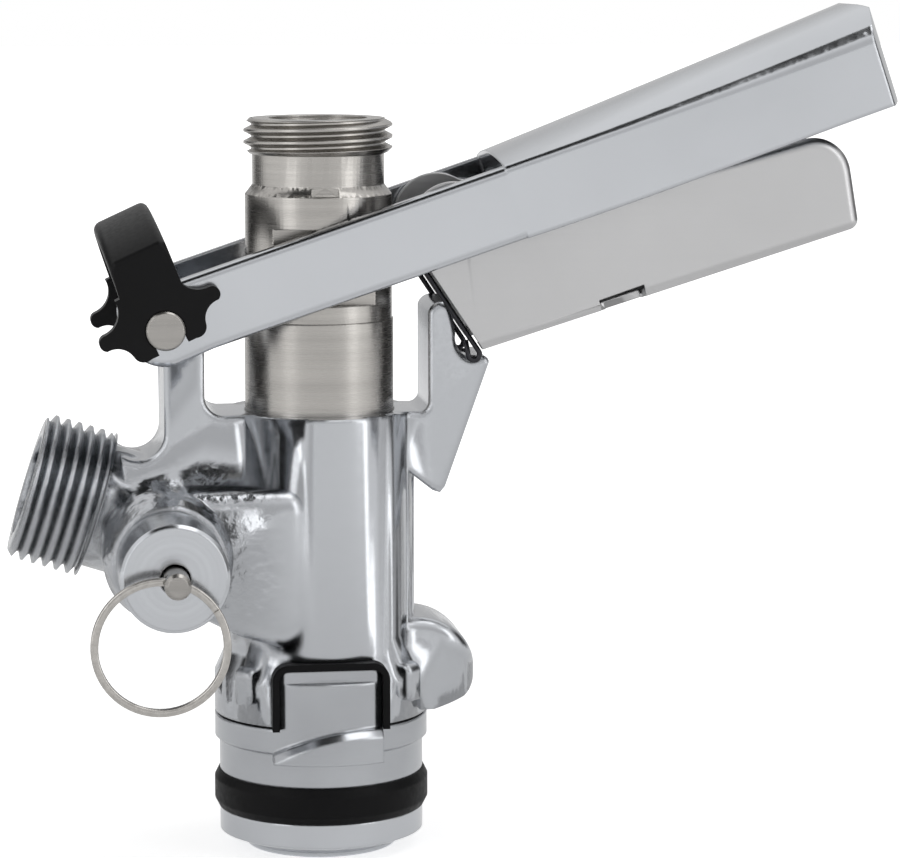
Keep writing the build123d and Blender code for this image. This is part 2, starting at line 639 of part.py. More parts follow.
with BuildPart() as probe_head:
    with BuildSketch(Plane.XZ):
        with BuildLine():
            Polyline(
                (0, SLEEVE_TOP - PROBE_SPIGOT_LENGTH),
                (PROBE_SPIGOT_OD / 2, SLEEVE_TOP - PROBE_SPIGOT_LENGTH),
                (PROBE_SPIGOT_OD / 2, SLEEVE_TOP),
                (PROBE_OD / 2, SLEEVE_TOP),
                (PROBE_OD / 2, SHOULDER_BOTTOM),
                (PORT_NECK_OD / 2, SHOULDER_TOP),
                (PORT_NECK_OD / 2, THREAD_START),
                (PORT_THREAD_OD / 2, THREAD_START + PORT_CHAMFER),
                (PORT_THREAD_OD / 2, OUTLET_TOP - PORT_CHAMFER),
                (PORT_THREAD_OD / 2 - PORT_CHAMFER, OUTLET_TOP),
                (0, OUTLET_TOP),
                close=True,
            )
        make_face()
    revolve(axis=Axis.Z)
    with BuildSketch(Plane.XY.offset(drive_z - POCKET_HEIGHT / 2)):
        with Locations((0, POCKET_FLAT + 5), (0, -POCKET_FLAT - 5)):
            Rectangle(PROBE_OD + 2, 10)
    extrude(amount=POCKET_HEIGHT, mode=Mode.SUBTRACT)
    with BuildSketch(Plane.XY.offset(SHOULDER_BOTTOM)):
        with Locations((0, -PORT_NECK_OD / 2 - 2)):
            Rectangle(SHOULDER_NOTCH_WIDTH, 4)
    extrude(amount=SHOULDER_TOP - SHOULDER_BOTTOM, mode=Mode.SUBTRACT)
    with BuildSketch(Plane.XY):
        Circle(PROBE_BORE / 2)
    extrude(amount=OUTLET_TOP, mode=Mode.SUBTRACT)
    with BuildSketch(Plane.XY.offset(BALL_SEAT_Z)):
        Circle(OUTLET_BORE / 2)
    extrude(amount=OUTLET_TOP, mode=Mode.SUBTRACT)
finish(probe_head, "probe_head")

with BuildPart() as probe_piston:
    with BuildSketch(Plane.XZ):
        with BuildLine():
            Polyline(
                (0, PROBE_TIP_Z),
                (TIP_LIP_OD / 2, PROBE_TIP_Z),
                (TIP_LIP_OD / 2, TIP_SEAL_BOTTOM),
                (PROBE_STEM_OD / 2, TIP_SEAL_BOTTOM),
                (PROBE_STEM_OD / 2, TIP_SEAL_TOP),
                (TIP_LIP_OD / 2, TIP_SEAL_TOP),
                (TIP_LIP_OD / 2, TIP_LIP_TOP),
                (PROBE_STEM_OD / 2, TIP_LIP_TOP + 1),
                (PROBE_STEM_OD / 2, PISTON_BOTTOM - 2),
                (SLEEVE_OD / 2, PISTON_BOTTOM),
                (SLEEVE_OD / 2, SLEEVE_TOP),
                (0, SLEEVE_TOP),
                close=True,
            )
        make_face()
    revolve(axis=Axis.Z)
    with BuildSketch(Plane.XY.offset(SLEEVE_TOP)):
        Circle(PROBE_SPIGOT_OD / 2)
    extrude(amount=-PROBE_SPIGOT_LENGTH, mode=Mode.SUBTRACT)
    with BuildSketch(Plane.XY):
        Circle(PROBE_BORE / 2)
    extrude(amount=SLEEVE_TOP, mode=Mode.SUBTRACT)
finish(probe_piston, "probe_piston")

with BuildPart() as probe_seal:
    with BuildSketch(Plane.XY.offset(TIP_SEAL_BOTTOM)):
        Circle(TIP_SEAL_OD / 2)
        Circle(PROBE_STEM_OD / 2, mode=Mode.SUBTRACT)
    extrude(amount=TIP_SEAL_TOP - TIP_SEAL_BOTTOM)
finish(probe_seal, "probe_seal")

ball_z = BALL_SEAT_Z + sqrt((BALL_OD / 2) ** 2 - (PROBE_BORE / 2) ** 2) + SEAL_PLAY
with BuildPart() as beer_ball:
    with Locations((0, 0, ball_z)):
        Sphere(BALL_OD / 2)
finish(beer_ball, "beer_ball")

with BuildPart() as ball_retainer:
    with BuildSketch(Plane.XY.offset(OUTLET_TOP - RETAINER_RECESS)):
        Circle(OUTLET_BORE / 2)
        Circle(OUTLET_BORE / 2 - 1.3, mode=Mode.SUBTRACT)
        Circle(2.2)
        with PolarLocations(OUTLET_BORE / 4, 3):
            Rectangle(OUTLET_BORE / 2 - 1, RETAINER_SPOKE)
    extrude(amount=-RETAINER_THICKNESS)
finish(ball_retainer, "ball_retainer")

# ---------------------------------------------------------------- lever casting
def grip_section(u, half, low, wall, corner):
    """One cross-section of the grip at u along the lever: upright sides and a crowned top with rounded corners."""
    along = (u - WEB_START) / (GRIP_END - WEB_START)
    edge = ARM_HIGH + (GRIP_EDGE_END - ARM_HIGH) * along**3 - wall
    crown = GRIP_CROWN_START + (GRIP_CROWN_END - GRIP_CROWN_START) * along - wall
    with BuildSketch(across_lever(u)) as section:
        with BuildLine():
            Polyline((-half, edge), (-half, low), (half, low), (half, edge))
            ThreePointArc((half, edge), (0, crown), (-half, edge))
        make_face()
        fillet(section.vertices().group_by(Axis.Y)[-1], corner)
        fillet(section.vertices().group_by(Axis.Y)[0], ARM_LOW_EDGE_R)
    return section.sketch


grip_mid = (WEB_START + GRIP_END) / 2
grip_tip = GRIP_END + GRIP_END_BULGE
grip_floor_end = GRIP_END - GRIP_WALL
flare_start = GRIP_END - GRIP_FLARE_LENGTH
deep = -2 * ARM_LOW
grip_outside = [
    grip_section(WEB_START, ARM_OUTER, -ARM_LOW, 0, ARM_EDGE_R),
    grip_section(grip_mid, ARM_OUTER, -ARM_LOW, 0, 1.6),
    grip_section(flare_start, ARM_OUTER, (-ARM_LOW - GRIP_LOW_END) / 2, 0, 2.2),
    grip_section(grip_tip + 1, ARM_OUTER + GRIP_FLARE, -GRIP_LOW_END, 0, 3.0),
]
grip_inside = [
    grip_section(WEB_START - 3, ARM_INNER, deep, GRIP_WALL, 0.8),
    grip_section(grip_mid, ARM_INNER, deep, GRIP_WALL, 1.0),
    grip_section(grip_floor_end, ARM_INNER, deep, GRIP_WALL, 2.0),
]

# Arms: one outline, rounded along the outer edges
with BuildPart() as lever_arms:
    with BuildSketch(LEVER):
        Circle(ARM_END_R)
        with BuildLine():
            Polyline(
                (0, ARM_END_R),
                (6, ARM_HIGH),
                (WEB_START + 2, ARM_HIGH),
                (WEB_START + 2, -ARM_LOW),
                (6, -ARM_LOW),
                (0, -ARM_END_R),
                close=True,
            )
        make_face()
    extrude(amount=ARM_OUTER, both=True)
    outline = faces().sort_by(Axis.Y)[0].edges() + faces().sort_by(Axis.Y)[-1].edges()
    fillet(outline.sort_by(LEVER_LINE)[:-2], ARM_EDGE_R)

with BuildPart() as handle_lever:
    loft(grip_outside)
    with BuildSketch(Plane(origin=LEVER.origin, x_dir=LEVER.x_dir, z_dir=LEVER.y_dir).offset(deep)):
        with BuildLine():
            grip_side = ARM_OUTER + GRIP_FLARE
            Polyline((0, grip_side), (0, -grip_side), (GRIP_END, -grip_side))
            ThreePointArc((GRIP_END, -grip_side), (grip_tip, 0), (GRIP_END, grip_side))
            Line((GRIP_END, grip_side), (0, grip_side))
        make_face()
        fillet(vertices().group_by(Axis.X)[-1], 1.5)
    extrude(amount=4 * GRIP_CROWN_END, mode=Mode.INTERSECT)
    with BuildSketch(LEVER):
        with BuildLine():
            Polyline((0, deep), (grip_tip, deep), (grip_tip, GRIP_CROWN_END), (0, GRIP_CROWN_END), close=True)
        make_face()
        fillet(vertices().group_by(Axis.X)[-1].sort_by(Axis.Y)[-1], GRIP_NOSE_R)
    extrude(amount=2 * ARM_OUTER, both=True, mode=Mode.INTERSECT)
    add(lever_arms.part)

    # Gap between the arms, hollow of the grip, pivot hole and blind holes for the trigger pins
    with BuildSketch(LEVER):
        Rectangle(2 * WEB_START, 8 * ARM_LOW)
    extrude(amount=ARM_INNER, both=True, mode=Mode.SUBTRACT)
    loft(grip_inside, mode=Mode.SUBTRACT)
    with BuildSketch(LEVER):
        Circle(PIVOT_PIN_OD / 2 + RUNNING_FIT)
    extrude(amount=ARM_OUTER, both=True, mode=Mode.SUBTRACT)
    with BuildSketch(LEVER):
        with Locations((TRIGGER_PIVOT_U, TRIGGER_PIVOT_V)):
            Circle(TRIGGER_PIN_OD / 2)
    extrude(amount=ARM_OUTER - TRIGGER_PIN_COVER, both=True, mode=Mode.SUBTRACT)

    # Studs that carry the drive bushes
    for side in (-1, 1):
        with BuildSketch(LEVER.offset(side * ARM_INNER)):
            with Locations((drive_u, 0)):
                Circle(DRIVE_STUD_OD / 2)
        extrude(amount=side * (POCKET_FLAT + SIDE_PLAY - ARM_INNER))
finish(handle_lever, "handle_lever")

with BuildPart() as drive_bushes:
    for side in (-1, 1):
        with BuildSketch(LEVER.offset(side * ARM_INNER)):
            with Locations((drive_u, 0)):
                Circle(DRIVE_BUSH_OD / 2)
                Circle(DRIVE_STUD_OD / 2, mode=Mode.SUBTRACT)
        extrude(amount=side * (POCKET_FLAT + SIDE_PLAY - ARM_INNER))
finish(drive_bushes, "drive_bushes")

bail_inner = ARM_OUTER + SIDE_PLAY
bail_outer = bail_inner + BAIL_LEG
with BuildPart() as pivot_pin:
    with BuildSketch(LEVER):
        Circle(PIVOT_PIN_OD / 2)
    extrude(amount=bail_outer + 0.5, both=True)
    chamfer(edges(), 0.3)
finish(pivot_pin, "pivot_pin")

# ---------------------------------------------------------------- trigger
front = Vector(TRIGGER_FRONT_U, TRIGGER_FRONT_V)
to_pivot = Vector(TRIGGER_PIVOT_U, TRIGGER_PIVOT_V) - front
tangent_length = sqrt(to_pivot.length**2 - TRIGGER_EAR_R**2)
front_angle = atan2(to_pivot.Y, to_pivot.X) + atan2(TRIGGER_EAR_R, tangent_length)
front_dir = Vector(cos(front_angle), sin(front_angle))
ear_tangent = front + front_dir * tangent_length
ear_top = Vector(TRIGGER_PIVOT_U, TRIGGER_PIVOT_V) + Vector(TRIGGER_EAR_R, 0).rotate(Axis.Z, 40)
trigger_half = TRIGGER_WIDTH / 2
trigger_inner = trigger_half - TRIGGER_SHEET

with BuildPart() as trigger:
    with BuildSketch(LEVER):
        with BuildLine():
            Polyline(
                (ear_tangent.X, ear_tangent.Y),
                (TRIGGER_FRONT_U, TRIGGER_FRONT_V),
                (TRIGGER_REAR_U, TRIGGER_REAR_V),
                (TRIGGER_REAR_U + TRIGGER_REAR_LEAN, TRIGGER_REAR_TOP),
                (TRIGGER_REAR_U - 40, TRIGGER_REAR_TOP + 3.1),
                (ear_top.X, ear_top.Y),
                (TRIGGER_PIVOT_U, TRIGGER_PIVOT_V),
                close=True,
            )
        make_face()
        fillet(vertices().group_by(Axis.X)[-1].sort_by(Axis.Y)[-1], TRIGGER_CORNER_R)
        fillet(vertices().sort_by(Axis.Y)[0], TRIGGER_FOLD_R)
        with Locations((TRIGGER_PIVOT_U, TRIGGER_PIVOT_V)):
            Circle(TRIGGER_EAR_R)
    extrude(amount=trigger_half, both=True)
    fillet(edges().group_by(SortBy.LENGTH)[-1], TRIGGER_FOLD_R)
    with BuildSketch(LEVER):
        with BuildLine():
            Polyline(
                (TRIGGER_FRONT_U - 20, TRIGGER_FRONT_V + TRIGGER_SHEET + 0.4),
                (TRIGGER_REAR_U + 20, TRIGGER_REAR_V + TRIGGER_SHEET - 0.4),
                (TRIGGER_REAR_U + 20, 20),
                (TRIGGER_FRONT_U - 20, 20),
                close=True,
            )
        make_face()
    extrude(amount=trigger_inner, both=True, mode=Mode.SUBTRACT)

    # Front of the floor, cut back to pass round the latch ear, then the fold slots and the pivot holes
    with BuildSketch(LEVER):
        Circle(ear_reach + TRIGGER_EAR_PLAY)
    extrude(amount=EAR_THICKNESS / 2 + 2 * SIDE_PLAY, both=True, mode=Mode.SUBTRACT)
    for side in (-1, 1):
        with BuildSketch(LEVER.offset(side * (trigger_half - 2 * TRIGGER_SHEET))):
            with Locations((TRIGGER_SLOT_U, TRIGGER_REAR_V - TRIGGER_SHEET)):
                Rectangle(
                    TRIGGER_SLOT_LENGTH, TRIGGER_SLOT_HEIGHT + TRIGGER_SHEET, align=(Align.CENTER, Align.MIN)
                )
        extrude(amount=side * 3 * TRIGGER_SHEET, mode=Mode.SUBTRACT)
    with BuildSketch(LEVER):
        with Locations((TRIGGER_PIVOT_U, TRIGGER_PIVOT_V)):
            Circle(TRIGGER_PIN_OD / 2 + RUNNING_FIT)
    extrude(amount=trigger_half, both=True, mode=Mode.SUBTRACT)
finish(trigger, "trigger")

pin_inner = EAR_THICKNESS / 2 + SIDE_PLAY + 0.2
with BuildPart() as trigger_pins:
    for side in (-1, 1):
        with BuildSketch(LEVER.offset(side * pin_inner)):
            with Locations((TRIGGER_PIVOT_U, TRIGGER_PIVOT_V)):
                Circle(TRIGGER_PIN_OD / 2)
        extrude(amount=side * (ARM_OUTER - TRIGGER_PIN_COVER - pin_inner))
finish(trigger_pins, "trigger_pins")

# Trigger spring: a coil on each pin, a leg down each front edge that ends in an open loop, a leg under the web
wire_r = (SPRING_OD - SPRING_WIRE) / 2
coil_left = Vector(TRIGGER_PIVOT_U - wire_r, TRIGGER_PIVOT_V + 1)
coil_top = Vector(TRIGGER_PIVOT_U - 1, TRIGGER_PIVOT_V + wire_r)
edge_offset = front_dir.rotate(Axis.Z, 90) * SPRING_GAP
leg_top = front + front_dir * (tangent_length - 3) + edge_offset
leg_bottom = front + front_dir * -0.4 + edge_offset
loop_points = [leg_bottom + step for step in (Vector(-0.95, -1.1), Vector(-1.9, -0.1), Vector(-1.5, 2.7))]
front_points = [tuple(point) for point in (coil_left, leg_top, leg_bottom, *loop_points)]
with BuildPart() as trigger_spring:
    for side in (-1, 1):
        with BuildSketch(LEVER.offset(side * (pin_inner + 0.1))):
            with Locations((TRIGGER_PIVOT_U, TRIGGER_PIVOT_V)):
                Circle(SPRING_OD / 2)
                Circle(SPRING_OD / 2 - SPRING_WIRE, mode=Mode.SUBTRACT)
        extrude(amount=side * (trigger_inner - pin_inner - 0.2))
        leg_plane = LEVER.offset(side * (pin_inner + trigger_inner) / 2)
        with BuildLine(leg_plane) as front_leg:
            FilletPolyline(*front_points, radius=0.75)
        with BuildSketch(Plane(front_leg.line @ 0, z_dir=front_leg.line % 0)):
            Circle(SPRING_WIRE / 2)
        sweep(path=front_leg.line)
        with BuildLine(leg_plane) as back_leg:
            Line(tuple(coil_top), (WEB_START + 2, ARM_HIGH - GRIP_WALL - SPRING_WIRE))
        with BuildSketch(Plane(back_leg.line @ 0, z_dir=back_leg.line % 0)):
            Circle(SPRING_WIRE / 2)
        sweep(path=back_leg.line)
finish(trigger_spring, "trigger_spring")

# ---------------------------------------------------------------- retaining bail on the pivot pin
BAIL = Plane(
    origin=LEVER.origin,
    x_dir=(cos(radians(LEVER_ANGLE + BAIL_TILT)), 0, sin(radians(LEVER_ANGLE + BAIL_TILT))),
    z_dir=(0, -1, 0),
)
with BuildPart() as safety_bail:
    # Arch over the lever's end, drawn across the lever: straight legs and a low crown
    with BuildSketch(Plane(origin=BAIL.origin, x_dir=(0, 1, 0), z_dir=BAIL.x_dir)) as arch:
        with BuildLine():
            Polyline(
                (-bail_outer, BAIL_SHOULDER), (-bail_outer, 0), (bail_outer, 0), (bail_outer, BAIL_SHOULDER)
            )
            ThreePointArc((bail_outer, BAIL_SHOULDER), (0, BAIL_TOP), (-bail_outer, BAIL_SHOULDER))
        make_face()
        fillet(arch.vertices().group_by(Axis.Y)[-1], BAIL_CORNER_R)
        with BuildLine():
            inner_shoulder = BAIL_SHOULDER - BAIL_WALL
            Polyline((-bail_inner, inner_shoulder), (-bail_inner, 0), (bail_inner, 0), (bail_inner, inner_shoulder))
            ThreePointArc(
                (bail_inner, inner_shoulder), (0, BAIL_TOP - BAIL_WALL), (-bail_inner, inner_shoulder)
            )
        make_face(mode=Mode.SUBTRACT)
    extrude(amount=BAIL_BASE_WIDTH, both=True)
    # Taper of the arch towards its top
    with BuildSketch(BAIL):
        with BuildLine():
            Polyline(
                (-BAIL_BASE_WIDTH / 2, 0),
                (BAIL_TOP_SHIFT - BAIL_TOP_WIDTH / 2, BAIL_TOP),
                (BAIL_TOP_SHIFT + BAIL_TOP_WIDTH / 2, BAIL_TOP),
                (BAIL_BASE_WIDTH / 2, 0),
                close=True,
            )
        make_face()
    extrude(amount=bail_outer, both=True, mode=Mode.INTERSECT)
    # Claw plates: two lobes each, and a mouth that snaps over the pin
    for side in (-1, 1):
        with BuildSketch(BAIL.offset(side * bail_inner)):
            with BuildLine():
                for flip in (-1, 1):
                    Line((flip * BAIL_BASE_WIDTH / 2, 7.2), (0, 7.2))
                    ThreePointArc((flip * BAIL_BASE_WIDTH / 2, 7.2), (flip * 6.0, 4.2), (flip * 8.5, 3.2))
                    ThreePointArc((flip * 8.5, 3.2), (flip * BAIL_LOBE_REACH, 2.2), (flip * 9.1, 0.9))
                    ThreePointArc((flip * 9.1, 0.9), (flip * 6.6, -0.1), (flip * 5.9, -1.6))
                    ThreePointArc((flip * 5.9, -1.6), (flip * 5.2, -2.7), (flip * 3.7, -2.9))
                    Line((flip * 3.7, -2.9), (0, -2.9))
            make_face()
            Circle(PIVOT_PIN_OD / 2 + RUNNING_FIT, mode=Mode.SUBTRACT)
            with Locations((0, -3)):
                Rectangle(BAIL_MOUTH, 6, mode=Mode.SUBTRACT)
        extrude(amount=side * BAIL_LEG)
    with BuildSketch(BAIL):
        Circle(PIVOT_PIN_OD / 2 + RUNNING_FIT)
        with Locations((0, -3)):
            Rectangle(BAIL_MOUTH, 6)
    extrude(amount=bail_outer, both=True, mode=Mode.SUBTRACT)
finish(safety_bail, "safety_bail")
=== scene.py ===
"""Looks of the keg coupler: cut threads, wound springs and ring, plated and turned finishes, stage.

Metres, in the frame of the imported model: +Z up along the probe, +X towards the grip, -Y towards
the relief valve.
"""

import json
from contextlib import contextmanager
from math import copysign, cos, pi, radians, sin

import bpy
from bpy.props import FloatProperty, FloatVectorProperty, IntProperty, PointerProperty
from mathutils import Matrix, Vector


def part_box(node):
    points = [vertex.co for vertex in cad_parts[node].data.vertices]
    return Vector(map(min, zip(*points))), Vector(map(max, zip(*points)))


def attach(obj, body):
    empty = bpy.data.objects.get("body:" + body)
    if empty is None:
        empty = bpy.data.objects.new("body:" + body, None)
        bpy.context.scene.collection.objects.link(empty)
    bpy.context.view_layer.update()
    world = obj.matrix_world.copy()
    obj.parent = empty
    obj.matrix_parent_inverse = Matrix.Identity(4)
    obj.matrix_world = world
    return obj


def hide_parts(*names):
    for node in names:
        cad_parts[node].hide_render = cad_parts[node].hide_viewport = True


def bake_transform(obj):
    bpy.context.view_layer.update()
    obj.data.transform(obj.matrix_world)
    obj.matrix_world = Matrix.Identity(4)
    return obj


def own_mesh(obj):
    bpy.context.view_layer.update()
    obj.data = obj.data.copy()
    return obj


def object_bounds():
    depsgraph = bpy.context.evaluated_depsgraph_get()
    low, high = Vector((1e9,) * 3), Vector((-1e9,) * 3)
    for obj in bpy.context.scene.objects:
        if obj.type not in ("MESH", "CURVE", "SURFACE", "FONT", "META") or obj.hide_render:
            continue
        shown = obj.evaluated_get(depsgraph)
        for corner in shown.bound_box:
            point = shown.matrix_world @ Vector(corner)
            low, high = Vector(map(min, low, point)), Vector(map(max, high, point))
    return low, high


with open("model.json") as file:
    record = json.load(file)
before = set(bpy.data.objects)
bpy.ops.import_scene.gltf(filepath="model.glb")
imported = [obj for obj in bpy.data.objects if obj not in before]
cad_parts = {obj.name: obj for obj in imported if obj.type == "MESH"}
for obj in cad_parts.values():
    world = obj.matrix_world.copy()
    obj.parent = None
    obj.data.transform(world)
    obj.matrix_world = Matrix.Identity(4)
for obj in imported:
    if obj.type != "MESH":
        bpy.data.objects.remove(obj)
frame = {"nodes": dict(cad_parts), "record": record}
CAD_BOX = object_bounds()

bl_info = {
    "name": "Keg coupler finish",
    "version": (1, 0, 0),
    "blender": (4, 5, 0),
    "location": "View3D > Sidebar > Keg coupler",
    "description": "Threads, springs, ring, plated and turned finishes of a keg coupler",
    "category": "Object",
}

MM = 0.001
MOUNTS = {mount["name"]: mount for mount in frame["record"]["mounts"]}
JOINTS = {joint["name"]: joint for joint in frame["record"]["behaviour"]["joints"]}

# How far the lever and the bail lean at rest
LEVER_LEAN = radians(18.6)
BAIL_LEAN = radians(24.7)

# Work on meshes
WELD = 1e-6  # corners of a copied node closer than this become one
LEVEL = 1e-7  # an edge is level when its ends differ by less in height
TOOL_MARGIN = 1 * MM  # how far a cutting tool stands past what it cuts

# Degrees above which an edge stays sharp
CAST_ANGLE = 35
TURNED_ANGLE = 12
FOLD_ANGLE = 40
WIRE_ANGLE = 60

# Threads
PORT_CHAMFER = 0.9 * MM
TOOTH_ROOT = 0.46  # half width of a tooth's root, as a share of the pitch
TOOTH_SINK = 0.1 * MM  # how far the root reaches below the core
TOOTH_PROUD = 0.06 * MM  # how far the untrimmed crest stands above the outline
TOOTH_STARTS = (7, 12, 31, 50)  # degrees

# Pull ring
RING_RISE = 1.02  # rise of one turn, as a share of the wire's thickness
FLATTENED = 0.7  # power of a flattened wire's section

# Bail: the arch begins this far above the pivot, and is round about a centre this far above it
ARCH_FOOT = 7.5 * MM
ARCH_CENTRE = 6 * MM

# Cast skin: where it begins away from the barrel's axis, and where it ends along X and Z
SKIN_RADIUS = (15.6 * MM, 18 * MM)
SKIN_X = (-13 * MM, -5 * MM)
SKIN_Z = (55 * MM, 63 * MM)

# Wide fillets at the inlet's root: where they end along X, at the top and at the foot
FILLET_X = (-5 * MM, 1 * MM)
FILLET_TOP = (50 * MM, 60 * MM)
FILLET_FOOT = (30 * MM, 34 * MM)

# Stage
VEIL_RADIUS = 0.72
VEIL_LOW, VEIL_HIGH = -0.01, 0.69
VEIL_BANDS = (  # azimuth in degrees and density
    (-180, 0.4),
    (-150, 0.45),
    (-138, 0.95),
    (-118, 0.95),
    (-104, 0.25),
    (-75, 0.15),
    (-45, 0.34),
    (0, 0.3),
    (40, 0.28),
    (62, 0.0),
    (82, 0.0),
    (98, 0.95),
    (122, 0.95),
    (138, 0.4),
    (180, 0.4),
)
FLOOR_GAP = 0.2 * MM  # floor below the coupler's lower face, and ground veil above it


# ---------------------------------------------------------------- sizes and colours to change
class ThreadSizes(bpy.types.PropertyGroup):
    """Parallel pipe thread of both ports"""

    pitch: FloatProperty(
        name="Pitch",
        description="Distance between two crests",
        default=1.814 * MM,
        unit="LENGTH",
        precision=5,
    )
    depth: FloatProperty(
        name="Depth",
        description="Crest to root, on the radius",
        default=1.16 * MM,
        unit="LENGTH",
        precision=5,
    )
    crest: FloatProperty(
        name="Crest",
        description="Half width of the flat on a crest",
        default=0.16 * MM,
        unit="LENGTH",
        precision=5,
    )
    steps: IntProperty(
        name="Steps", description="Facets in one turn of a thread", default=96, min=24, max=192
    )


class WireSizes(bpy.types.PropertyGroup):
    """Wound wire of the ring and the springs"""

    ring_width: FloatProperty(
        name="Ring width",
        description="Pull ring's wire, across the radius",
        default=1.15 * MM,
        unit="LENGTH",
        precision=5,
    )
    ring_thickness: FloatProperty(
        name="Ring thickness",
        description="Pull ring's wire, along its axis",
        default=0.55 * MM,
        unit="LENGTH",
        precision=5,
    )
    ring_end: FloatProperty(
        name="Ring end",
        description="Where the pull ring's outer end lies",
        default=radians(33),
        subtype="ANGLE",
    )
    relief_wire: FloatProperty(
        name="Relief wire",
        description="Wire of the relief valve's spring",
        default=0.9 * MM,
        unit="LENGTH",
        precision=5,
    )
    relief_turns: IntProperty(
        name="Relief turns", description="Turns of the relief valve's spring", default=5, min=2
    )
    twist_reach: FloatProperty(
        name="Twist reach",
        description="How far from the trigger's pins the trigger's spring twists",
        default=2.6 * MM,
        unit="LENGTH",
        precision=5,
    )


class FormSizes(bpy.types.PropertyGroup):
    """Rounding of the bail and windows of the trigger"""

    bail_edge: FloatProperty(
        name="Bail edge",
        description="Rounding of the bail's moulded edges",
        default=1.2 * MM,
        unit="LENGTH",
        precision=5,
    )
    window: FloatVectorProperty(
        name="Window",
        description="Punch for a window: along the fold, across the channel and up its side",
        subtype="XYZ",
        default=(7.4 * MM, 3.6 * MM, 4.0 * MM),
        unit="LENGTH",
        precision=5,
    )
    window_place: FloatVectorProperty(
        name="Window place",
        description="Middle of a window from the trigger's pins: along, to the side and down",
        subtype="XYZ",
        default=(21.1 * MM, 10.9 * MM, 20.1 * MM),
        unit="LENGTH",
        precision=5,
    )


class FinishColours(bpy.types.PropertyGroup):
    """Colours of the metals, plastics and rubbers"""

    chrome: FloatVectorProperty(
        name="Chrome",
        description="Bright plating",
        subtype="COLOR",
        default=(0.53, 0.545, 0.57),
        min=0,
        max=1,
    )
    steel: FloatVectorProperty(
        name="Turned steel",
        description="Turned stainless",
        subtype="COLOR",
        default=(0.42, 0.405, 0.385),
        min=0,
        max=1,
    )
    sheet: FloatVectorProperty(
        name="Sheet steel",
        description="Trigger sheet",
        subtype="COLOR",
        default=(0.56, 0.56, 0.565),
        min=0,
        max=1,
    )
    wire: FloatVectorProperty(
        name="Spring wire",
        description="Blackened wire",
        subtype="COLOR",
        default=(0.045, 0.045, 0.05),
        min=0,
        max=1,
    )
    plastic: FloatVectorProperty(
        name="Black plastic",
        description="Retaining bail",
        subtype="COLOR",
        default=(0.006, 0.006, 0.0065),
        min=0,
        max=1,
    )
    white: FloatVectorProperty(
        name="White plastic",
        description="Bushes and ball",
        subtype="COLOR",
        default=(0.74, 0.73, 0.69),
        min=0,
        max=1,
    )
    rubber: FloatVectorProperty(
        name="Rubber",
        description="Seals",
        subtype="COLOR",
        default=(0.004, 0.004, 0.0045),
        min=0,
        max=1,
    )


class StageSizes(bpy.types.PropertyGroup):
    """Camera, lamps, world and floor"""

    camera_place: FloatVectorProperty(
        name="Camera",
        description="Where the camera stands",
        subtype="XYZ",
        default=(-0.0555, -0.5371, 0.1410),
    )
    heading: FloatProperty(
        name="Heading",
        description="Camera's turn from +Y towards +X",
        default=radians(8.05),
        subtype="ANGLE",
    )
    dip: FloatProperty(
        name="Dip", description="Camera's tilt below level", default=radians(8.0), subtype="ANGLE"
    )
    lens: FloatProperty(
        name="Lens", description="Focal length in millimetres", default=140.4, min=20
    )
    key_power: FloatProperty(
        name="Key", description="Lamp at the left", default=0.7, min=0, unit="POWER"
    )
    fill_power: FloatProperty(
        name="Fill", description="Lamp at the right", default=0.5, min=0, unit="POWER"
    )
    top_power: FloatProperty(
        name="Top", description="Lamp overhead", default=1.4, min=0, unit="POWER"
    )
    world_light: FloatProperty(
        name="World light",
        description="Strength of the white world on matt surfaces",
        default=0.42,
        min=0,
        max=1,
    )
    floor_colour: FloatVectorProperty(
        name="Floor",
        description="Pale floor",
        subtype="COLOR",
        default=(0.93, 0.93, 0.93),
        min=0,
        max=1,
    )


# ---------------------------------------------------------------- hand tools
def only(thing):
    """Deselects everything else and makes one object active."""
    bpy.ops.object.select_all(action="DESELECT")
    thing.select_set(True)
    bpy.context.view_layer.objects.active = thing


def fresh(name, primitive, **settings):
    """Adds one primitive, lamp or camera with nothing else selected, and names it."""
    bpy.ops.object.select_all(action="DESELECT")
    primitive(**settings)
    thing = bpy.context.object
    thing.name = name
    return thing


@contextmanager
def editing(thing):
    """Edit mode on the whole of one object, and back to object mode."""
    only(thing)
    bpy.ops.object.mode_set(mode="EDIT")
    bpy.ops.mesh.select_all(action="SELECT")
    yield
    bpy.ops.object.mode_set(mode="OBJECT")


def finish_modifier(thing, kind, **settings):
    """Adds one modifier with its settings and applies it."""
    modifier = thing.modifiers.new(kind.title(), kind)
    for key, value in settings.items():
        setattr(modifier, key, value)
    only(thing)
    bpy.ops.object.modifier_apply(modifier=modifier.name)


def cut(thing, tool, operation):
    """Boolean of one object with a tool, which is used up."""
    finish_modifier(thing, "BOOLEAN", object=tool, operation=operation, solver="EXACT")
    bpy.data.objects.remove(tool)


def settle(thing, place=None):
    """Puts a piece in its place, then moves that place into its mesh."""
    if place is not None:
        thing.matrix_world = place @ thing.matrix_world
    only(thing)
    bpy.ops.object.transform_apply(location=True, rotation=True, scale=True)


def copy_of(node, name):
    """A welded copy of a rigid node that finer work is then done on."""
    source = frame["nodes"][node]
    thing = source.copy()
    thing.data = source.data.copy()
    thing.name = name
    thing.data.name = name
    thing.parent = None
    thing.matrix_world = Matrix()
    bpy.context.scene.collection.objects.link(thing)
    with editing(thing):
        bpy.ops.mesh.remove_doubles(threshold=WELD)
    return thing


def hand_over(piece, body, slot, *nodes):
    """Rides a finished piece on its body in place of the nodes it stands for."""
    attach(piece, body)
    if nodes:
        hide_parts(*nodes)


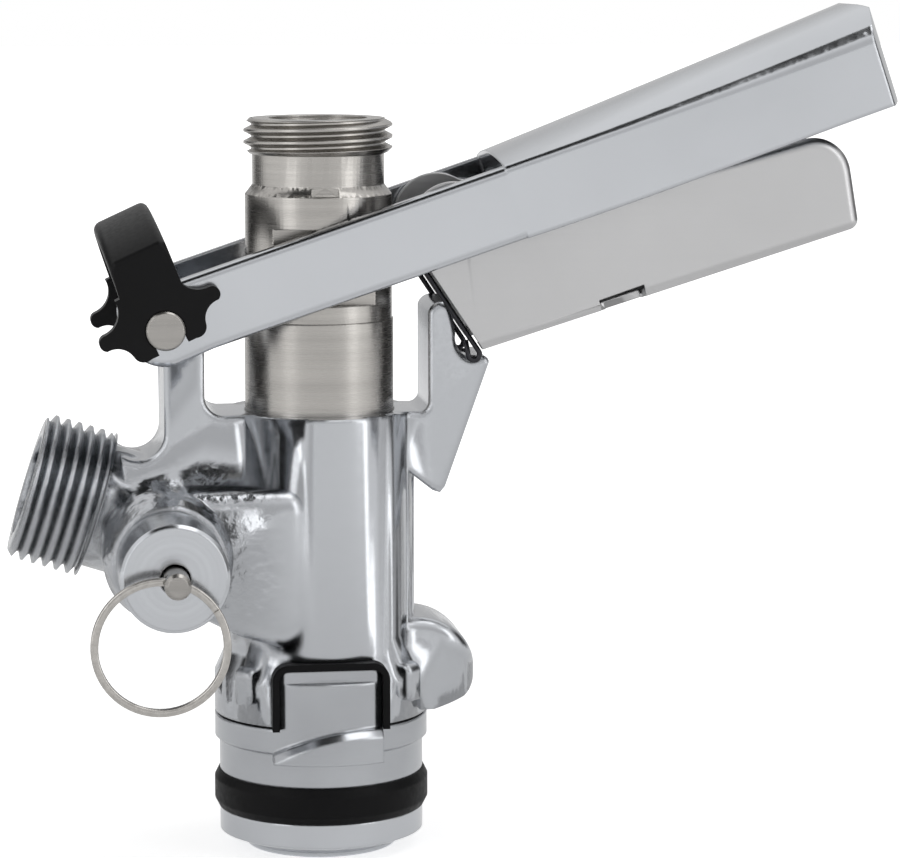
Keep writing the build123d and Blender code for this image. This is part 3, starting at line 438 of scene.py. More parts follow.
def bevel_edges(thing, picked, width, **settings):
    """Bevels the edges whose numbers are picked."""
    only(thing)
    bpy.ops.object.mode_set(mode="EDIT")
    bpy.ops.mesh.select_all(action="DESELECT")
    bpy.ops.object.mode_set(mode="OBJECT")
    for edge in thing.data.edges:
        edge.select = edge.index in picked
    bpy.ops.object.mode_set(mode="EDIT")
    bpy.ops.mesh.select_mode(type="EDGE")
    bpy.ops.mesh.bevel(offset=width, **settings)
    bpy.ops.object.mode_set(mode="OBJECT")


def smooth(thing, angle=CAST_ANGLE):
    """Smooth shading with sharp edges kept above an angle in degrees."""
    only(thing)
    bpy.ops.object.shade_smooth_by_angle(angle=radians(angle))


def smooth_flats(thing, angle):
    """Smooth shading that also keeps large flat and turned faces even."""
    smooth(thing, angle)
    finish_modifier(thing, "WEIGHTED_NORMAL", keep_sharp=True)


def tilted(angle):
    """Along and up directions of a piece that leans about Y."""
    return Vector((cos(angle), 0, sin(angle))), Vector((-sin(angle), 0, cos(angle)))


def corners_of(node):
    """Lowest and highest corners of a node at rest."""
    return tuple(Vector(corner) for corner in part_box(node))


# ---------------------------------------------------------------- wound and turned shapes
def wind(name, corners, offset, turns, steps):
    """A closed section, given as corners in (radius, height), wound round Z: a tooth or a coil."""
    thing = fresh(
        name,
        bpy.ops.mesh.primitive_circle_add,
        vertices=len(corners),
        radius=1,
        fill_type="NOTHING",
    )
    for vertex, (radius, height) in zip(thing.data.vertices, corners):
        vertex.co = (radius, 0, height)
    finish_modifier(
        thing,
        "SCREW",
        axis="Z",
        angle=2 * pi * turns,
        screw_offset=offset * turns,
        iterations=1,
        steps=round(steps * turns),
        render_steps=round(steps * turns),
        use_merge_vertices=False,
    )
    with editing(thing):
        bpy.ops.mesh.fill_holes(sides=len(corners))
        bpy.ops.mesh.select_all(action="SELECT")
        bpy.ops.mesh.normals_make_consistent(inside=False)
    return thing


def wire_section(middle, half_width, half_height, power=1.0):
    """Corners of a wire at a middle radius: a power below one is fuller than an ellipse."""
    corners = []
    for angle in range(0, 360, 30):
        across, up = cos(radians(angle)), sin(radians(angle))
        across, up = (copysign(abs(value) ** power, value) for value in (across, up))
        corners.append((middle + half_width * across, half_height * up))
    return corners


def rod(name, radius, low, high, rim, vertices=192):
    """A cylinder on Z from low to high, with both rims chamfered."""
    thing = fresh(
        name,
        bpy.ops.mesh.primitive_cylinder_add,
        vertices=vertices,
        radius=radius,
        depth=high - low,
        location=(0, 0, (low + high) / 2),
    )
    settle(thing)
    heights = [vertex.co.z for vertex in thing.data.vertices]
    level = {
        edge.index
        for edge in thing.data.edges
        if abs(heights[edge.vertices[0]] - heights[edge.vertices[1]]) < LEVEL
    }
    bevel_edges(thing, level, rim)
    return thing


def tube(name, inner, outer, low, high):
    """A tube on Z, to turn a diameter down with."""
    thing = fresh(
        name,
        bpy.ops.mesh.primitive_cylinder_add,
        vertices=160,
        radius=outer,
        depth=high - low,
        location=(0, 0, (low + high) / 2),
        end_fill_type="NOTHING",
    )
    settle(thing)
    finish_modifier(thing, "SOLIDIFY", thickness=outer - inner, offset=-1)
    return thing


def port(name):
    """Place of a port, with Z out of its mouth and zero at its end face, its radius and length."""
    mount = MOUNTS[name]
    axis = Vector(mount["axis"])
    length = mount["dims"]["length_mm"] * MM
    face = Vector(mount["pos_m"]) + axis * (length / 2 + PORT_CHAMFER)
    turn = axis.to_track_quat("Z", "Y").to_matrix().to_4x4()
    return Matrix.Translation(face) @ turn, mount["dims"]["r_mm"] * MM, length


def turned_down(node, name, port_name, run_out, sizes):
    """A copy of a node whose port is turned down to the core of its thread."""
    place, radius, length = port(port_name)
    piece = copy_of(node, name)
    core = radius - sizes.depth
    tool = tube("turning_tool", core, radius + TOOL_MARGIN, -(length + run_out), TOOL_MARGIN)
    settle(tool, place)
    cut(piece, tool, "DIFFERENCE")
    return piece


def thread_crests(name, port_name, run_out, sizes):
    """The crests of a port's thread, clipped by the port's chamfered outline."""
    place, radius, length = port(port_name)
    bottom = -(length + run_out)
    root = radius - sizes.depth - TOOTH_SINK
    half_root = sizes.pitch * TOOTH_ROOT
    corners = [
        (root, -half_root),
        (radius + TOOTH_PROUD, -sizes.crest),
        (radius + TOOTH_PROUD, sizes.crest),
        (root, half_root),
    ]
    turns = round(-bottom / sizes.pitch) + 2
    lift = Matrix.Translation((0, 0, bottom - sizes.pitch))
    # The boolean comes out empty when facets of tooth and outline line up, so other starts follow
    for start in TOOTH_STARTS:
        tooth = wind(name, corners, sizes.pitch, turns, sizes.steps)
        settle(tooth, lift @ Matrix.Rotation(radians(start), 4, "Z"))
        cut(tooth, rod("envelope", radius, bottom, 0, PORT_CHAMFER), "INTERSECT")
        if tooth.data.polygons:
            settle(tooth, place)
            smooth(tooth)
            return tooth
        bpy.data.objects.remove(tooth)
    raise RuntimeError("the thread tooth could not be trimmed")


# ---------------------------------------------------------------- materials
class Nodes:
    """A small node tree writer: every call adds nodes and returns their main output."""

    def __init__(self, name):
        self.material = bpy.data.materials.new(name)
        self.material.use_nodes = True
        self.tree = self.material.node_tree
        self.shader = self.tree.nodes["Principled BSDF"]

    def add(self, kind, inputs=(), **settings):
        """One node: sockets given as inputs are linked, other values are set."""
        node = self.tree.nodes.new(kind)
        for key, value in settings.items():
            setattr(node, key, value)
        for key, value in dict(inputs).items():
            if isinstance(value, bpy.types.NodeSocket):
                self.tree.links.new(value, node.inputs[key])
            else:
                node.inputs[key].default_value = value
        return node

    def object_coords(self):
        """Object coordinates as they are."""
        return self.add("ShaderNodeTexCoord").outputs["Object"]

    def place(self, scale=(1, 1, 1), turn=(0, 0, 0)):
        """Object coordinates, turned and stretched."""
        inputs = {"Vector": self.object_coords(), "Scale": scale, "Rotation": turn}
        return self.add("ShaderNodeMapping", inputs).outputs["Vector"]

    def split(self, vector):
        """X, Y and Z of a vector."""
        parts = self.add("ShaderNodeSeparateXYZ", {"Vector": vector}).outputs
        return parts["X"], parts["Y"], parts["Z"]

    def join(self, **parts):
        """A vector from some of X, Y and Z."""
        return self.add("ShaderNodeCombineXYZ", parts).outputs["Vector"]

    def length(self, vector):
        """Length of a vector."""
        return self.add("ShaderNodeVectorMath", {0: vector}, operation="LENGTH").outputs["Value"]

    def noise(self, vector, scale, detail=3.0, rough=0.5):
        """Noise of a scale in cells to the metre."""
        inputs = {"Vector": vector, "Scale": scale, "Detail": detail, "Roughness": rough}
        return self.add("ShaderNodeTexNoise", inputs).outputs["Fac"]

    def span(self, value, low, high, start=0.3, end=0.7):
        """Maps a value's start..end to low..high, with the ends held."""
        inputs = {"Value": value, "From Min": start, "From Max": end, "To Min": low, "To Max": high}
        return self.add("ShaderNodeMapRange", inputs).outputs["Result"]

    def mixed(self, share, low, high):
        """Maps a share of 0..1 to low..high."""
        return self.span(share, low, high, 0, 1)

    def product(self, *factors):
        """Product of two or more values."""
        result = factors[0]
        for factor in factors[1:]:
            inputs = {0: result, 1: factor}
            result = self.add("ShaderNodeMath", inputs, operation="MULTIPLY").outputs["Value"]
        return result

    def tint(self, factor, dark, light):
        """A colour between two colours."""
        mix = self.add("ShaderNodeMix", data_type="RGBA")
        share, first, second = mix.inputs[0], mix.inputs[6], mix.inputs[7]
        self.tree.links.new(factor, share)
        first.default_value = (*dark, 1)
        second.default_value = (*light, 1)
        return mix.outputs[2]

    def edge(self, radius):
        """Normal of a surface whose sharp edges and inner corners look rounded."""
        return self.add("ShaderNodeBevel", {"Radius": radius}, samples=6).outputs["Normal"]

    def bump(self, height, strength, distance, normal=None):
        """Normal of a surface with a height on it, over another normal if one is given."""
        inputs = {"Height": height, "Strength": strength, "Distance": distance}
        if normal is not None:
            inputs["Normal"] = normal
        return self.add("ShaderNodeBump", inputs).outputs["Normal"]

    def surface(self, metallic=0.0, **inputs):
        """The finished material, from sockets or plain values."""
        names = {
            "colour": "Base Color",
            "roughness": "Roughness",
            "normal": "Normal",
            "grain": "Anisotropic",
        }
        self.shader.inputs["Metallic"].default_value = metallic
        for key, value in inputs.items():
            socket = self.shader.inputs[names[key]]
            if isinstance(value, bpy.types.NodeSocket):
                self.tree.links.new(value, socket)
            else:
                socket.default_value = value
        return self.material


def shade(colour, factor):
    """A colour made darker or lighter."""
    return tuple(min(1.0, part * factor) for part in colour)


def cast_chrome(colour):
    """Bright plating over a casting: the barrel is buffed, the rest keeps its pitted cast skin,
    coloured darker there as painted shade.
    """
    nodes = Nodes("cast_chrome")
    place = nodes.place()
    x, y, z = nodes.split(place)
    away = nodes.length(nodes.join(X=x, Y=y))
    rough = nodes.product(
        nodes.span(away, 0, 1, *SKIN_RADIUS),
        nodes.span(x, 1, 0, *SKIN_X),
        nodes.span(z, 1, 0, *SKIN_Z),
    )
    fillets = nodes.product(
        nodes.span(z, 1, 0, *FILLET_TOP),
        nodes.span(x, 1, 0, *FILLET_X),
        nodes.span(z, 0, 1, *FILLET_FOOT),
    )
    soft = nodes.edge(nodes.mixed(fillets, 0.9 * MM, 2.4 * MM))
    waves = nodes.noise(place, 260, detail=2.0, rough=0.45)
    pits = nodes.noise(place, 640, detail=2.0)
    skin = nodes.noise(place, 1100, detail=4.0, rough=0.6)
    cloud = nodes.noise(place, 45)
    rolled = nodes.bump(waves, nodes.mixed(rough, 0.04, 0.6), 0.6 * MM, soft)
    pitted = nodes.bump(pits, nodes.mixed(rough, 0.01, 0.5), 0.3 * MM, rolled)
    normal = nodes.bump(skin, nodes.mixed(rough, 0.02, 0.4), 0.1 * MM, pitted)
    # Painted shade: the colour goes down to 0.78 of the chrome over the cast skin's zone, times a
    # random cloud of tone
    painted_shade_and_cloud = nodes.product(nodes.mixed(rough, 0.35, 1), nodes.span(cloud, 0.7, 1))
    return nodes.surface(
        1.0,
        colour=nodes.tint(painted_shade_and_cloud, colour, shade(colour, 0.78)),
        roughness=nodes.span(skin, 0.12, 0.2),
        normal=normal,
    )


def polished_chrome(colour):
    """Bright plating over a buffed surface: straight reflections and hardly any texture."""
    nodes = Nodes("polished_chrome")
    place = nodes.place()
    haze = nodes.noise(place, 60)
    waves = nodes.noise(place, 70, detail=1.0, rough=0.4)
    return nodes.surface(
        1.0,
        colour=nodes.tint(nodes.span(haze, 0, 1), shade(colour, 0.96), shade(colour, 1.05)),
        roughness=nodes.span(haze, 0.11, 0.17),
        normal=nodes.bump(waves, 0.06, 0.6 * MM, nodes.edge(0.5 * MM)),
    )


def satin_nickel_painted_shade(colour):
    """Satin plating over a turned ring, given a darker colour as painted shade."""
    nodes = Nodes("satin_nickel_painted_shade")
    turned = nodes.noise(nodes.place(scale=(6, 6, 1500)), 1.0, rough=0.6)
    cloud = nodes.noise(nodes.place(), 60)
    return nodes.surface(
        1.0,
        colour=nodes.tint(nodes.span(cloud, 0, 1), shade(colour, 0.92), shade(colour, 1.08)),
        roughness=nodes.span(turned, 0.16, 0.24),
        normal=nodes.bump(turned, 0.08, 0.01 * MM, nodes.edge(0.6 * MM)),
    )


def turned_steel(colour, name="turned_steel", turn=(0, 0, 0)):
    """Stainless off the lathe: fine rings round Z of the turned coordinates."""
    nodes = Nodes(name)
    fine = nodes.noise(nodes.place((3, 3, 2600), turn), 1.0, rough=0.6)
    bands = nodes.noise(nodes.place((8, 8, 420), turn), 1.0, rough=0.6)
    stain = nodes.noise(nodes.place((90, 90, 40), turn), 1.0)
    streaked = nodes.product(nodes.span(bands, 0.3, 1), nodes.span(stain, 0.6, 1))
    return nodes.surface(
        1.0,
        colour=nodes.tint(streaked, shade(colour, 0.84), shade(colour, 1.14)),
        roughness=nodes.span(fine, 0.22, 0.3),
        normal=nodes.bump(fine, 0.12, 0.01 * MM, nodes.edge(0.25 * MM)),
        grain=0.3,
    )


def faced_chrome(colour):
    """A plated cap with a lathe's fine circles on its face, round the relief valve's axis."""
    nodes = Nodes("faced_chrome")
    low, high = corners_of("relief_cap")
    inputs = {0: nodes.object_coords(), 1: tuple((low + high) / 2)}
    from_axis = nodes.add("ShaderNodeVectorMath", inputs, operation="SUBTRACT").outputs["Vector"]
    x, _, z = nodes.split(from_axis)
    rings = nodes.join(X=nodes.length(nodes.join(X=x, Z=z)))
    circles = nodes.noise(rings, 3200, rough=0.6)
    bands = nodes.noise(rings, 700, detail=2.0)
    return nodes.surface(
        1.0,
        colour=nodes.tint(nodes.span(bands, 0, 1), shade(colour, 0.97), shade(colour, 1.1)),
        roughness=nodes.span(circles, 0.16, 0.24),
        normal=nodes.bump(circles, 0.2, 0.02 * MM, nodes.edge(0.35 * MM)),
    )


def sheet_steel(colour, lean):
    """Satin sheet, rubbed along the lever."""
    nodes = Nodes("sheet_steel")
    rubbed = nodes.noise(nodes.place((25, 900, 2200), (0, lean, 0)), 1.0, rough=0.6)
    cloud = nodes.noise(nodes.place(), 45)
    return nodes.surface(
        1.0,
        colour=nodes.tint(nodes.span(cloud, 0, 1), shade(colour, 0.97), shade(colour, 1.03)),
        roughness=nodes.span(rubbed, 0.3, 0.38),
        normal=nodes.bump(rubbed, 0.1, 0.01 * MM, nodes.edge(0.3 * MM)),
        grain=0.3,
    )


def drawn_wire(name, colour, smoothest, roughest):
    """Drawn or plated wire."""
    nodes = Nodes(name)
    marks = nodes.noise(nodes.place(), 1400, rough=0.6)
    return nodes.surface(
        1.0,
        colour=nodes.tint(nodes.span(marks, 0, 1), shade(colour, 0.85), shade(colour, 1.1)),
        roughness=nodes.span(marks, smoothest, roughest),
        normal=nodes.bump(marks, 0.12, 0.02 * MM),
    )


def moulded(name, colour, smoothest, roughest, grain, rounding, shine=0.5):
    """Moulded plastic or rubber with a fine skin."""
    nodes = Nodes(name)
    place = nodes.place()
    skin = nodes.noise(place, grain, rough=0.6)
    cloud = nodes.noise(place, 70, detail=2.0)
    nodes.shader.inputs["Specular IOR Level"].default_value = shine
    return nodes.surface(
        0.0,
        colour=nodes.tint(nodes.span(cloud, 0, 1), shade(colour, 0.8), shade(colour, 1.25)),
        roughness=nodes.span(skin, smoothest, roughest),
        normal=nodes.bump(skin, 0.2, 0.03 * MM, nodes.edge(rounding)),
    )


def black_cloth(nodes, grain, dark, light):
    """Matt black cloth of the stage."""
    nap = nodes.noise(nodes.place(), grain, detail=2.0)
    return nodes.surface(
        0.0, colour=nodes.tint(nap, (dark,) * 3, (light,) * 3), roughness=1.0
    )


def coat(material, *names):
    """Gives one material to several nodes or pieces."""
    for name in names:
        thing = frame["nodes"].get(name) or bpy.data.objects[name]
        thing.data.materials.clear()
        thing.data.materials.append(material)


# ---------------------------------------------------------------- pieces
class KEG_OT_outlet_thread(bpy.types.Operator):
    """Turn the outlet's end down to its core and cut the thread on it"""

    bl_idname = "keg.outlet_thread"
    bl_label = "Outlet thread"

    def execute(self, context):
        sizes = context.scene.keg_thread
        run_out = 2 * PORT_CHAMFER
        head = turned_down("probe_head", "probe_head_turned", "beer_outlet", run_out, sizes)
        smooth_flats(head, TURNED_ANGLE)
        hand_over(head, "probe", "turned_stainless", "probe_head")
        crests = thread_crests("outlet_thread", "beer_outlet", run_out, sizes)
        hand_over(crests, "probe", "turned_stainless")
        return {"FINISHED"}


class KEG_OT_inlet_thread(bpy.types.Operator):
    """Turn the gas inlet down to its core and cut the thread on it"""

    bl_idname = "keg.inlet_thread"
    bl_label = "Inlet thread"

    def execute(self, context):
        sizes = context.scene.keg_thread
        run_out = PORT_CHAMFER
        casting = turned_down("body_casting", "body_casting_threaded", "gas_inlet", run_out, sizes)
        smooth(casting)
        hand_over(casting, "body", "chromed_brass", "body_casting")
        crests = thread_crests("inlet_thread", "gas_inlet", run_out, sizes)
        hand_over(crests, "body", "chromed_brass")
        return {"FINISHED"}


class KEG_OT_pull_ring(bpy.types.Operator):
    """Wind the relief valve's split ring from two turns of flattened wire"""

    bl_idname = "keg.pull_ring"
    bl_label = "Pull ring"

    def execute(self, context):
        sizes = context.scene.keg_wire
        low, high = corners_of("split_ring")
        half_width, half_thick = sizes.ring_width / 2, sizes.ring_thickness / 2
        middle = (high.x - low.x) / 2 - half_width
        rise = sizes.ring_thickness * RING_RISE
        corners = wire_section(middle, half_width, half_thick, FLATTENED)
        ring = wind("pull_ring", corners, rise, turns=2, steps=72)
        turn = Matrix.Rotation(radians(90), 4, "X") @ Matrix.Rotation(sizes.ring_end, 4, "Z")
        lift = Matrix.Translation((0, 0, -rise))
        settle(ring, Matrix.Translation((low + high) / 2) @ turn @ lift)
        smooth(ring, WIRE_ANGLE)
        hand_over(ring, "pull_ring", "ring_steel", "split_ring")
        return {"FINISHED"}


def arch_rims(mesh):
    """Numbers of the edges between the end faces of the bail's arch and its outer skin."""
    across, up = tilted(BAIL_LEAN)
    pivot = Vector(JOINTS["bail_swing"]["pos_m"])
    normals = {}
    for face in mesh.polygons:
        for key in face.edge_keys:
            normals.setdefault(key, []).append(face.normal)
    rims = set()
    for edge in mesh.edges:
        ends = [mesh.vertices[index].co - pivot for index in edge.vertices]
        if min(end.dot(up) for end in ends) <= ARCH_FOOT:
            continue
        end_face, skin = sorted(normals[edge.key], key=lambda normal: -abs(normal.dot(across)))
        outward = (ends[0] + ends[1]) / 2 - ARCH_CENTRE * up
        squarely = abs(end_face.dot(across)) > 0.95 and abs(skin.dot(across)) < 0.5
        if squarely and skin.dot(outward) > 0:
            rims.add(edge.index)
    return rims


class KEG_OT_bail(bpy.types.Operator):
    """Round the moulded rims of the retaining bail's arch"""

    bl_idname = "keg.bail"
    bl_label = "Bail"

    def execute(self, context):
        width = context.scene.keg_form.bail_edge
        bail = copy_of("safety_bail", "moulded_bail")
        with editing(bail):
            bpy.ops.mesh.dissolve_limited(angle_limit=radians(1))
        bevel_edges(bail, arch_rims(bail.data), width, segments=4, clamp_overlap=False)
        smooth_flats(bail, FOLD_ANGLE)
        hand_over(bail, "bail", "black_plastic", "safety_bail")
        return {"FINISHED"}


class KEG_OT_trigger(bpy.types.Operator):
    """Punch the windows in the folds of the trigger"""

    bl_idname = "keg.trigger"
    bl_label = "Trigger"

    def execute(self, context):
        sizes = context.scene.keg_form
        ahead, aside, down = sizes.window_place
        along, up = tilted(LEVER_LEAN)
        pin = Vector(JOINTS["trigger_squeeze"]["pos_m"])
        trigger = copy_of("trigger", "punched_trigger")
        for side in (-1, 1):
            punch = fresh("window_punch", bpy.ops.mesh.primitive_cube_add, size=1)
            punch.scale = sizes.window
            settle(punch)
            middle = pin + ahead * along - down * up + Vector((0, side * aside, 0))
            settle(punch, Matrix.Translation(middle) @ Matrix.Rotation(-LEVER_LEAN, 4, "Y"))
            cut(trigger, punch, "DIFFERENCE")
        smooth_flats(trigger, FOLD_ANGLE)
        hand_over(trigger, "trigger", "sheet_stainless", "trigger")
        return {"FINISHED"}


def relief_coil(sizes):
    """The relief valve's spring, wound in its node's box."""
    low, high = corners_of("relief_spring")
    length = high.y - low.y
    half = sizes.relief_wire / 2
    corners = wire_section((high.x - low.x) / 2 - half, half, half)
    rise = (length - sizes.relief_wire) / sizes.relief_turns
    spring = wind("relief_coil", corners, rise, sizes.relief_turns, steps=48)
    foot = Vector(((low.x + high.x) / 2, high.y - half, (low.z + high.z) / 2))
    settle(spring, Matrix.Translation(foot) @ Matrix.Rotation(radians(90), 4, "X"))
    smooth(spring, WIRE_ANGLE)
    hand_over(spring, "body", "spring_wire", "relief_spring")
    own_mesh(spring)


def twisted_spring():
    """The trigger's spring: a smooth-shaded copy of its node, baked in place."""
    spring = copy_of("trigger_spring", "twisted_spring")
    smooth(spring, FOLD_ANGLE)
    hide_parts("trigger_spring")
    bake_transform(spring)


class KEG_OT_springs(bpy.types.Operator):
    """Wind the relief valve's spring, and smooth a copy of the trigger's spring"""

    bl_idname = "keg.springs"
    bl_label = "Springs"

    def execute(self, context):
        relief_coil(context.scene.keg_wire)
        twisted_spring()
        return {"FINISHED"}


# ---------------------------------------------------------------- finishes
class KEG_OT_metal(bpy.types.Operator):
    """Plate the castings, finish the turned, sheet and wire pieces"""

    bl_idname = "keg.metal"
    bl_label = "Metals"

    def execute(self, context):
        colours = context.scene.keg_colours
        chrome = tuple(colours.chrome)
        coat(cast_chrome(chrome), "body_casting", "body_casting_threaded", "inlet_thread")
        # Painted shade: the lower ring's colour is the chrome's at 0.86
        coat(satin_nickel_painted_shade(shade(chrome, 0.86)), "bayonet_ring")
        coat(polished_chrome(chrome), "handle_lever", "seal_retainer")
        coat(faced_chrome(chrome), "relief_cap")
        steel = turned_steel(tuple(colours.steel))
        coat(steel, "probe_head", "probe_head_turned", "outlet_thread")
        coat(steel, "probe_piston", "ball_retainer")
        across = turned_steel(shade(colours.steel, 0.9), "turned_pins", (radians(90), 0, 0))
        coat(across, "pivot_pin", "relief_stem", "trigger_pins")
        coat(sheet_steel(tuple(colours.sheet), -LEVER_LEAN), "trigger", "punched_trigger")
        ring_wire = drawn_wire("ring_wire", shade(colours.steel, 1.2), 0.14, 0.26)
        coat(ring_wire, "split_ring", "pull_ring")
        spring_wire = drawn_wire("spring_wire", tuple(colours.wire), 0.3, 0.45)
        coat(spring_wire, "trigger_spring", "twisted_spring", "relief_spring", "relief_coil")
        return {"FINISHED"}


class KEG_OT_plastic(bpy.types.Operator):
    """Colour the plastic and rubber pieces"""

    bl_idname = "keg.plastic"
    bl_label = "Plastics and rubbers"

    def execute(self, context):
        colours = context.scene.keg_colours
        black = moulded(
            "black_plastic", tuple(colours.plastic), 0.34, 0.46, 1500, 0.3 * MM, shine=0.14
        )
        coat(black, "safety_bail", "moulded_bail")
        white = moulded("white_plastic", tuple(colours.white), 0.3, 0.4, 900, 0.3 * MM)
        coat(white, "drive_bushes", "beer_ball")
        rubber = moulded(
            "black_rubber", tuple(colours.rubber), 0.4, 0.55, 1100, 0.5 * MM, shine=0.12
        )
        coat(rubber, "main_seal", "ring_gasket", "guide_o_rings")
        coat(rubber, "probe_seal", "gas_duckbill", "relief_seal")
        return {"FINISHED"}


# ---------------------------------------------------------------- stage
def sees_background(tree):
    """One for rays that show the background: camera, glossy and transmission rays."""
    path = tree.nodes.new("ShaderNodeLightPath")
    seen = path.outputs["Is Camera Ray"]
    for other in ("Is Glossy Ray", "Is Transmission Ray"):
        most = tree.nodes.new("ShaderNodeMath")
        most.operation = "MAXIMUM"
        tree.links.new(seen, most.inputs[0])
        tree.links.new(path.outputs[other], most.inputs[1])
        seen = most.outputs[0]
    return seen


def reflected_only(thing):
    """Keeps a stage object out of the view and of the light: it shows in reflections alone."""
    thing.visible_camera = False
    thing.visible_diffuse = False
    thing.visible_shadow = False
    thing.visible_transmission = False


def lay_floor(sizes):
    """A pale floor that goes white with distance."""
    floor = fresh(
        "floor", bpy.ops.mesh.primitive_plane_add, size=8, location=(0, 0, -FLOOR_GAP)
    )
    settle(floor)
    nodes = Nodes("floor_paper")
    grain = nodes.noise(nodes.place(), 60, detail=2.0)
    paper = nodes.tint(
        nodes.span(grain, 0, 1), shade(sizes.floor_colour, 0.995), sizes.floor_colour
    )
    away = nodes.length(nodes.place())
    whiter = nodes.span(away, 0.6, 1.0, start=0.05, end=0.35)
    glow = nodes.product(whiter, sees_background(nodes.tree))
    nodes.tree.links.new(glow, nodes.shader.inputs["Emission Strength"])
    nodes.shader.inputs["Emission Color"].default_value = (1, 1, 1, 1)
    coat(nodes.surface(0.0, colour=paper, roughness=0.9), "floor")


def light_world(context, light):
    """A white world: full where it is seen, softer on matt surfaces."""
    world = context.scene.world or bpy.data.worlds.new("studio")
    context.scene.world = world
    world.use_nodes = True
    tree = world.node_tree
    background = tree.nodes["Background"]
    background.inputs["Color"].default_value = (1, 1, 1, 1)
    strength = tree.nodes.new("ShaderNodeMapRange")
    tree.links.new(sees_background(tree), strength.inputs["Value"])
    strength.inputs["To Min"].default_value = light
    strength.inputs["To Max"].default_value = 1.0
    tree.links.new(strength.outputs["Result"], background.inputs["Strength"])


def hang_veil(heading):
    """A round smoked veil that greys the studio's white in reflections, in bands of azimuth."""
    wall = fresh(
        "studio_veil",
        bpy.ops.mesh.primitive_cylinder_add,
        vertices=96,
        radius=VEIL_RADIUS,
        depth=VEIL_HIGH - VEIL_LOW,
        location=(0, 0, (VEIL_LOW + VEIL_HIGH) / 2),
        end_fill_type="NOTHING",
    )
    settle(wall)
    nodes = Nodes("studio_veil")
    turned = nodes.place(turn=(0, 0, radians(90) + heading))
    inputs = {"Vector": turned}
    azimuth = nodes.add("ShaderNodeTexGradient", inputs, gradient_type="RADIAL").outputs["Fac"]
    ramp = nodes.add("ShaderNodeValToRGB", {"Fac": azimuth})
    stops = ramp.color_ramp.elements
    stops[0].position, stops[-1].position = 0, 1
    for angle, density in VEIL_BANDS[1:-1]:
        stops.new(angle / 360 + 0.5)
    for stop, (angle, density) in zip(stops, VEIL_BANDS):
        stop.color = (density, density, density, 1)
    height = nodes.split(nodes.place())[2]
    alpha = nodes.product(ramp.outputs["Color"], nodes.span(height, 1, 0.1, start=0.35, end=0.68))
    nodes.tree.links.new(alpha, nodes.shader.inputs["Alpha"])
    coat(black_cloth(nodes, 4, 0.02, 0.04), "studio_veil")
    reflected_only(wall)


def lay_ground_veil():
    """A round dark cloth on the floor, thin in the middle, that reflections alone show."""
    ground = fresh(
        "ground_veil",
        bpy.ops.mesh.primitive_circle_add,
        vertices=96,
        radius=VEIL_RADIUS,
        location=(0, 0, FLOOR_GAP),
        fill_type="NGON",
    )
    settle(ground)
    nodes = Nodes("ground_cloth")
    alpha = nodes.span(nodes.length(nodes.place()), 0.25, 0.42, start=0.03, end=0.12)
    nodes.tree.links.new(alpha, nodes.shader.inputs["Alpha"])
    coat(black_cloth(nodes, 200, 0.03, 0.05), "ground_veil")
    reflected_only(ground)


def hang_card():
    """A dark card overhead that reflections alone show."""
    card = fresh(
        "card_above", bpy.ops.mesh.primitive_plane_add, size=1, location=(-0.11, -0.12, 0.45)
    )
    card.scale = (0.28, 0.4, 1)
    settle(card)
    coat(black_cloth(Nodes("card_felt"), 200, 0.01, 0.02), "card_above")
    reflected_only(card)


def hang_lamp(name, place, size, watts):
    """A soft rectangular lamp that faces the middle of the coupler."""
    lamp = fresh(name, bpy.ops.object.light_add, type="AREA", location=place)
    aim = (Vector(CAD_BOX[0]) + Vector(CAD_BOX[1])) / 2
    lamp.data.shape = "RECTANGLE"
    lamp.data.size, lamp.data.size_y = size
    lamp.data.energy = watts
    lamp.rotation_euler = (aim - Vector(place)).to_track_quat("-Z", "Y").to_euler()


def stand_camera(context, sizes):
    """The camera, turned by its heading and dip."""
    camera = fresh("camera", bpy.ops.object.camera_add, location=sizes.camera_place)
    level = cos(sizes.dip)
    look = Vector((sin(sizes.heading) * level, cos(sizes.heading) * level, -sin(sizes.dip)))
    camera.rotation_euler = look.to_track_quat("-Z", "Y").to_euler()
    camera.data.lens = sizes.lens
    camera.data.sensor_width = 36
    camera.data.clip_start = 0.01
    context.scene.camera = camera


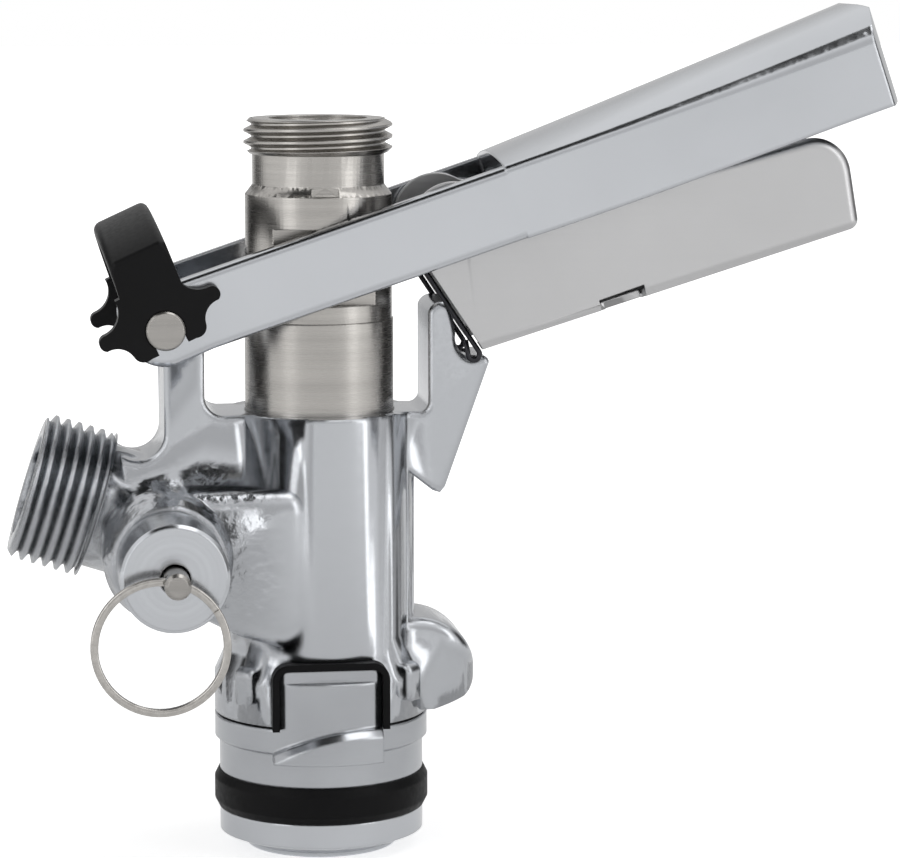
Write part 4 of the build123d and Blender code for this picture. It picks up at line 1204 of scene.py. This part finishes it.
class KEG_OT_stage(bpy.types.Operator):
    """Set up the floor, the world, the dark cards, the soft lights and the camera"""

    bl_idname = "keg.stage"
    bl_label = "Stage"

    def execute(self, context):
        sizes = context.scene.keg_stage
        lay_floor(sizes)
        light_world(context, sizes.world_light)
        hang_veil(sizes.heading)
        lay_ground_veil()
        hang_card()
        hang_lamp("key", (-0.52, -0.42, 0.28), (0.26, 0.62), sizes.key_power)
        hang_lamp("fill", (0.50, -0.46, 0.26), (0.20, 0.56), sizes.fill_power)
        hang_lamp("top", (0.25, -0.05, 0.95), (0.6, 0.5), sizes.top_power)
        stand_camera(context, sizes)
        context.scene.view_settings.view_transform = "Standard"
        return {"FINISHED"}


# ---------------------------------------------------------------- add-on
GROUPS = {
    "keg_thread": ThreadSizes,
    "keg_wire": WireSizes,
    "keg_form": FormSizes,
    "keg_colours": FinishColours,
    "keg_stage": StageSizes,
}
STEPS = (
    KEG_OT_outlet_thread,
    KEG_OT_inlet_thread,
    KEG_OT_pull_ring,
    KEG_OT_bail,
    KEG_OT_trigger,
    KEG_OT_springs,
    KEG_OT_metal,
    KEG_OT_plastic,
    KEG_OT_stage,
)


class KEG_PT_panel(bpy.types.Panel):
    """Keg coupler pieces and sizes"""

    bl_idname = "KEG_PT_panel"
    bl_label = "Keg coupler"
    bl_space_type = "VIEW_3D"
    bl_region_type = "UI"
    bl_category = "Keg coupler"

    def draw(self, context):
        for key, group in GROUPS.items():
            for size in group.__annotations__:
                self.layout.prop(getattr(context.scene, key), size)
        for operator in STEPS:
            self.layout.operator(operator.bl_idname)


def register():
    for group in (*GROUPS.values(), *STEPS, KEG_PT_panel):
        bpy.utils.register_class(group)
    for key, group in GROUPS.items():
        setattr(bpy.types.Scene, key, PointerProperty(type=group))


def unregister():
    for key in GROUPS:
        delattr(bpy.types.Scene, key)
    for group in (KEG_PT_panel, *reversed(STEPS), *GROUPS.values()):
        bpy.utils.unregister_class(group)


def main():
    register()
    for step in STEPS:
        family, name = step.bl_idname.split(".")
        getattr(getattr(bpy.ops, family), name)()


if __name__ == "__main__":
    main()
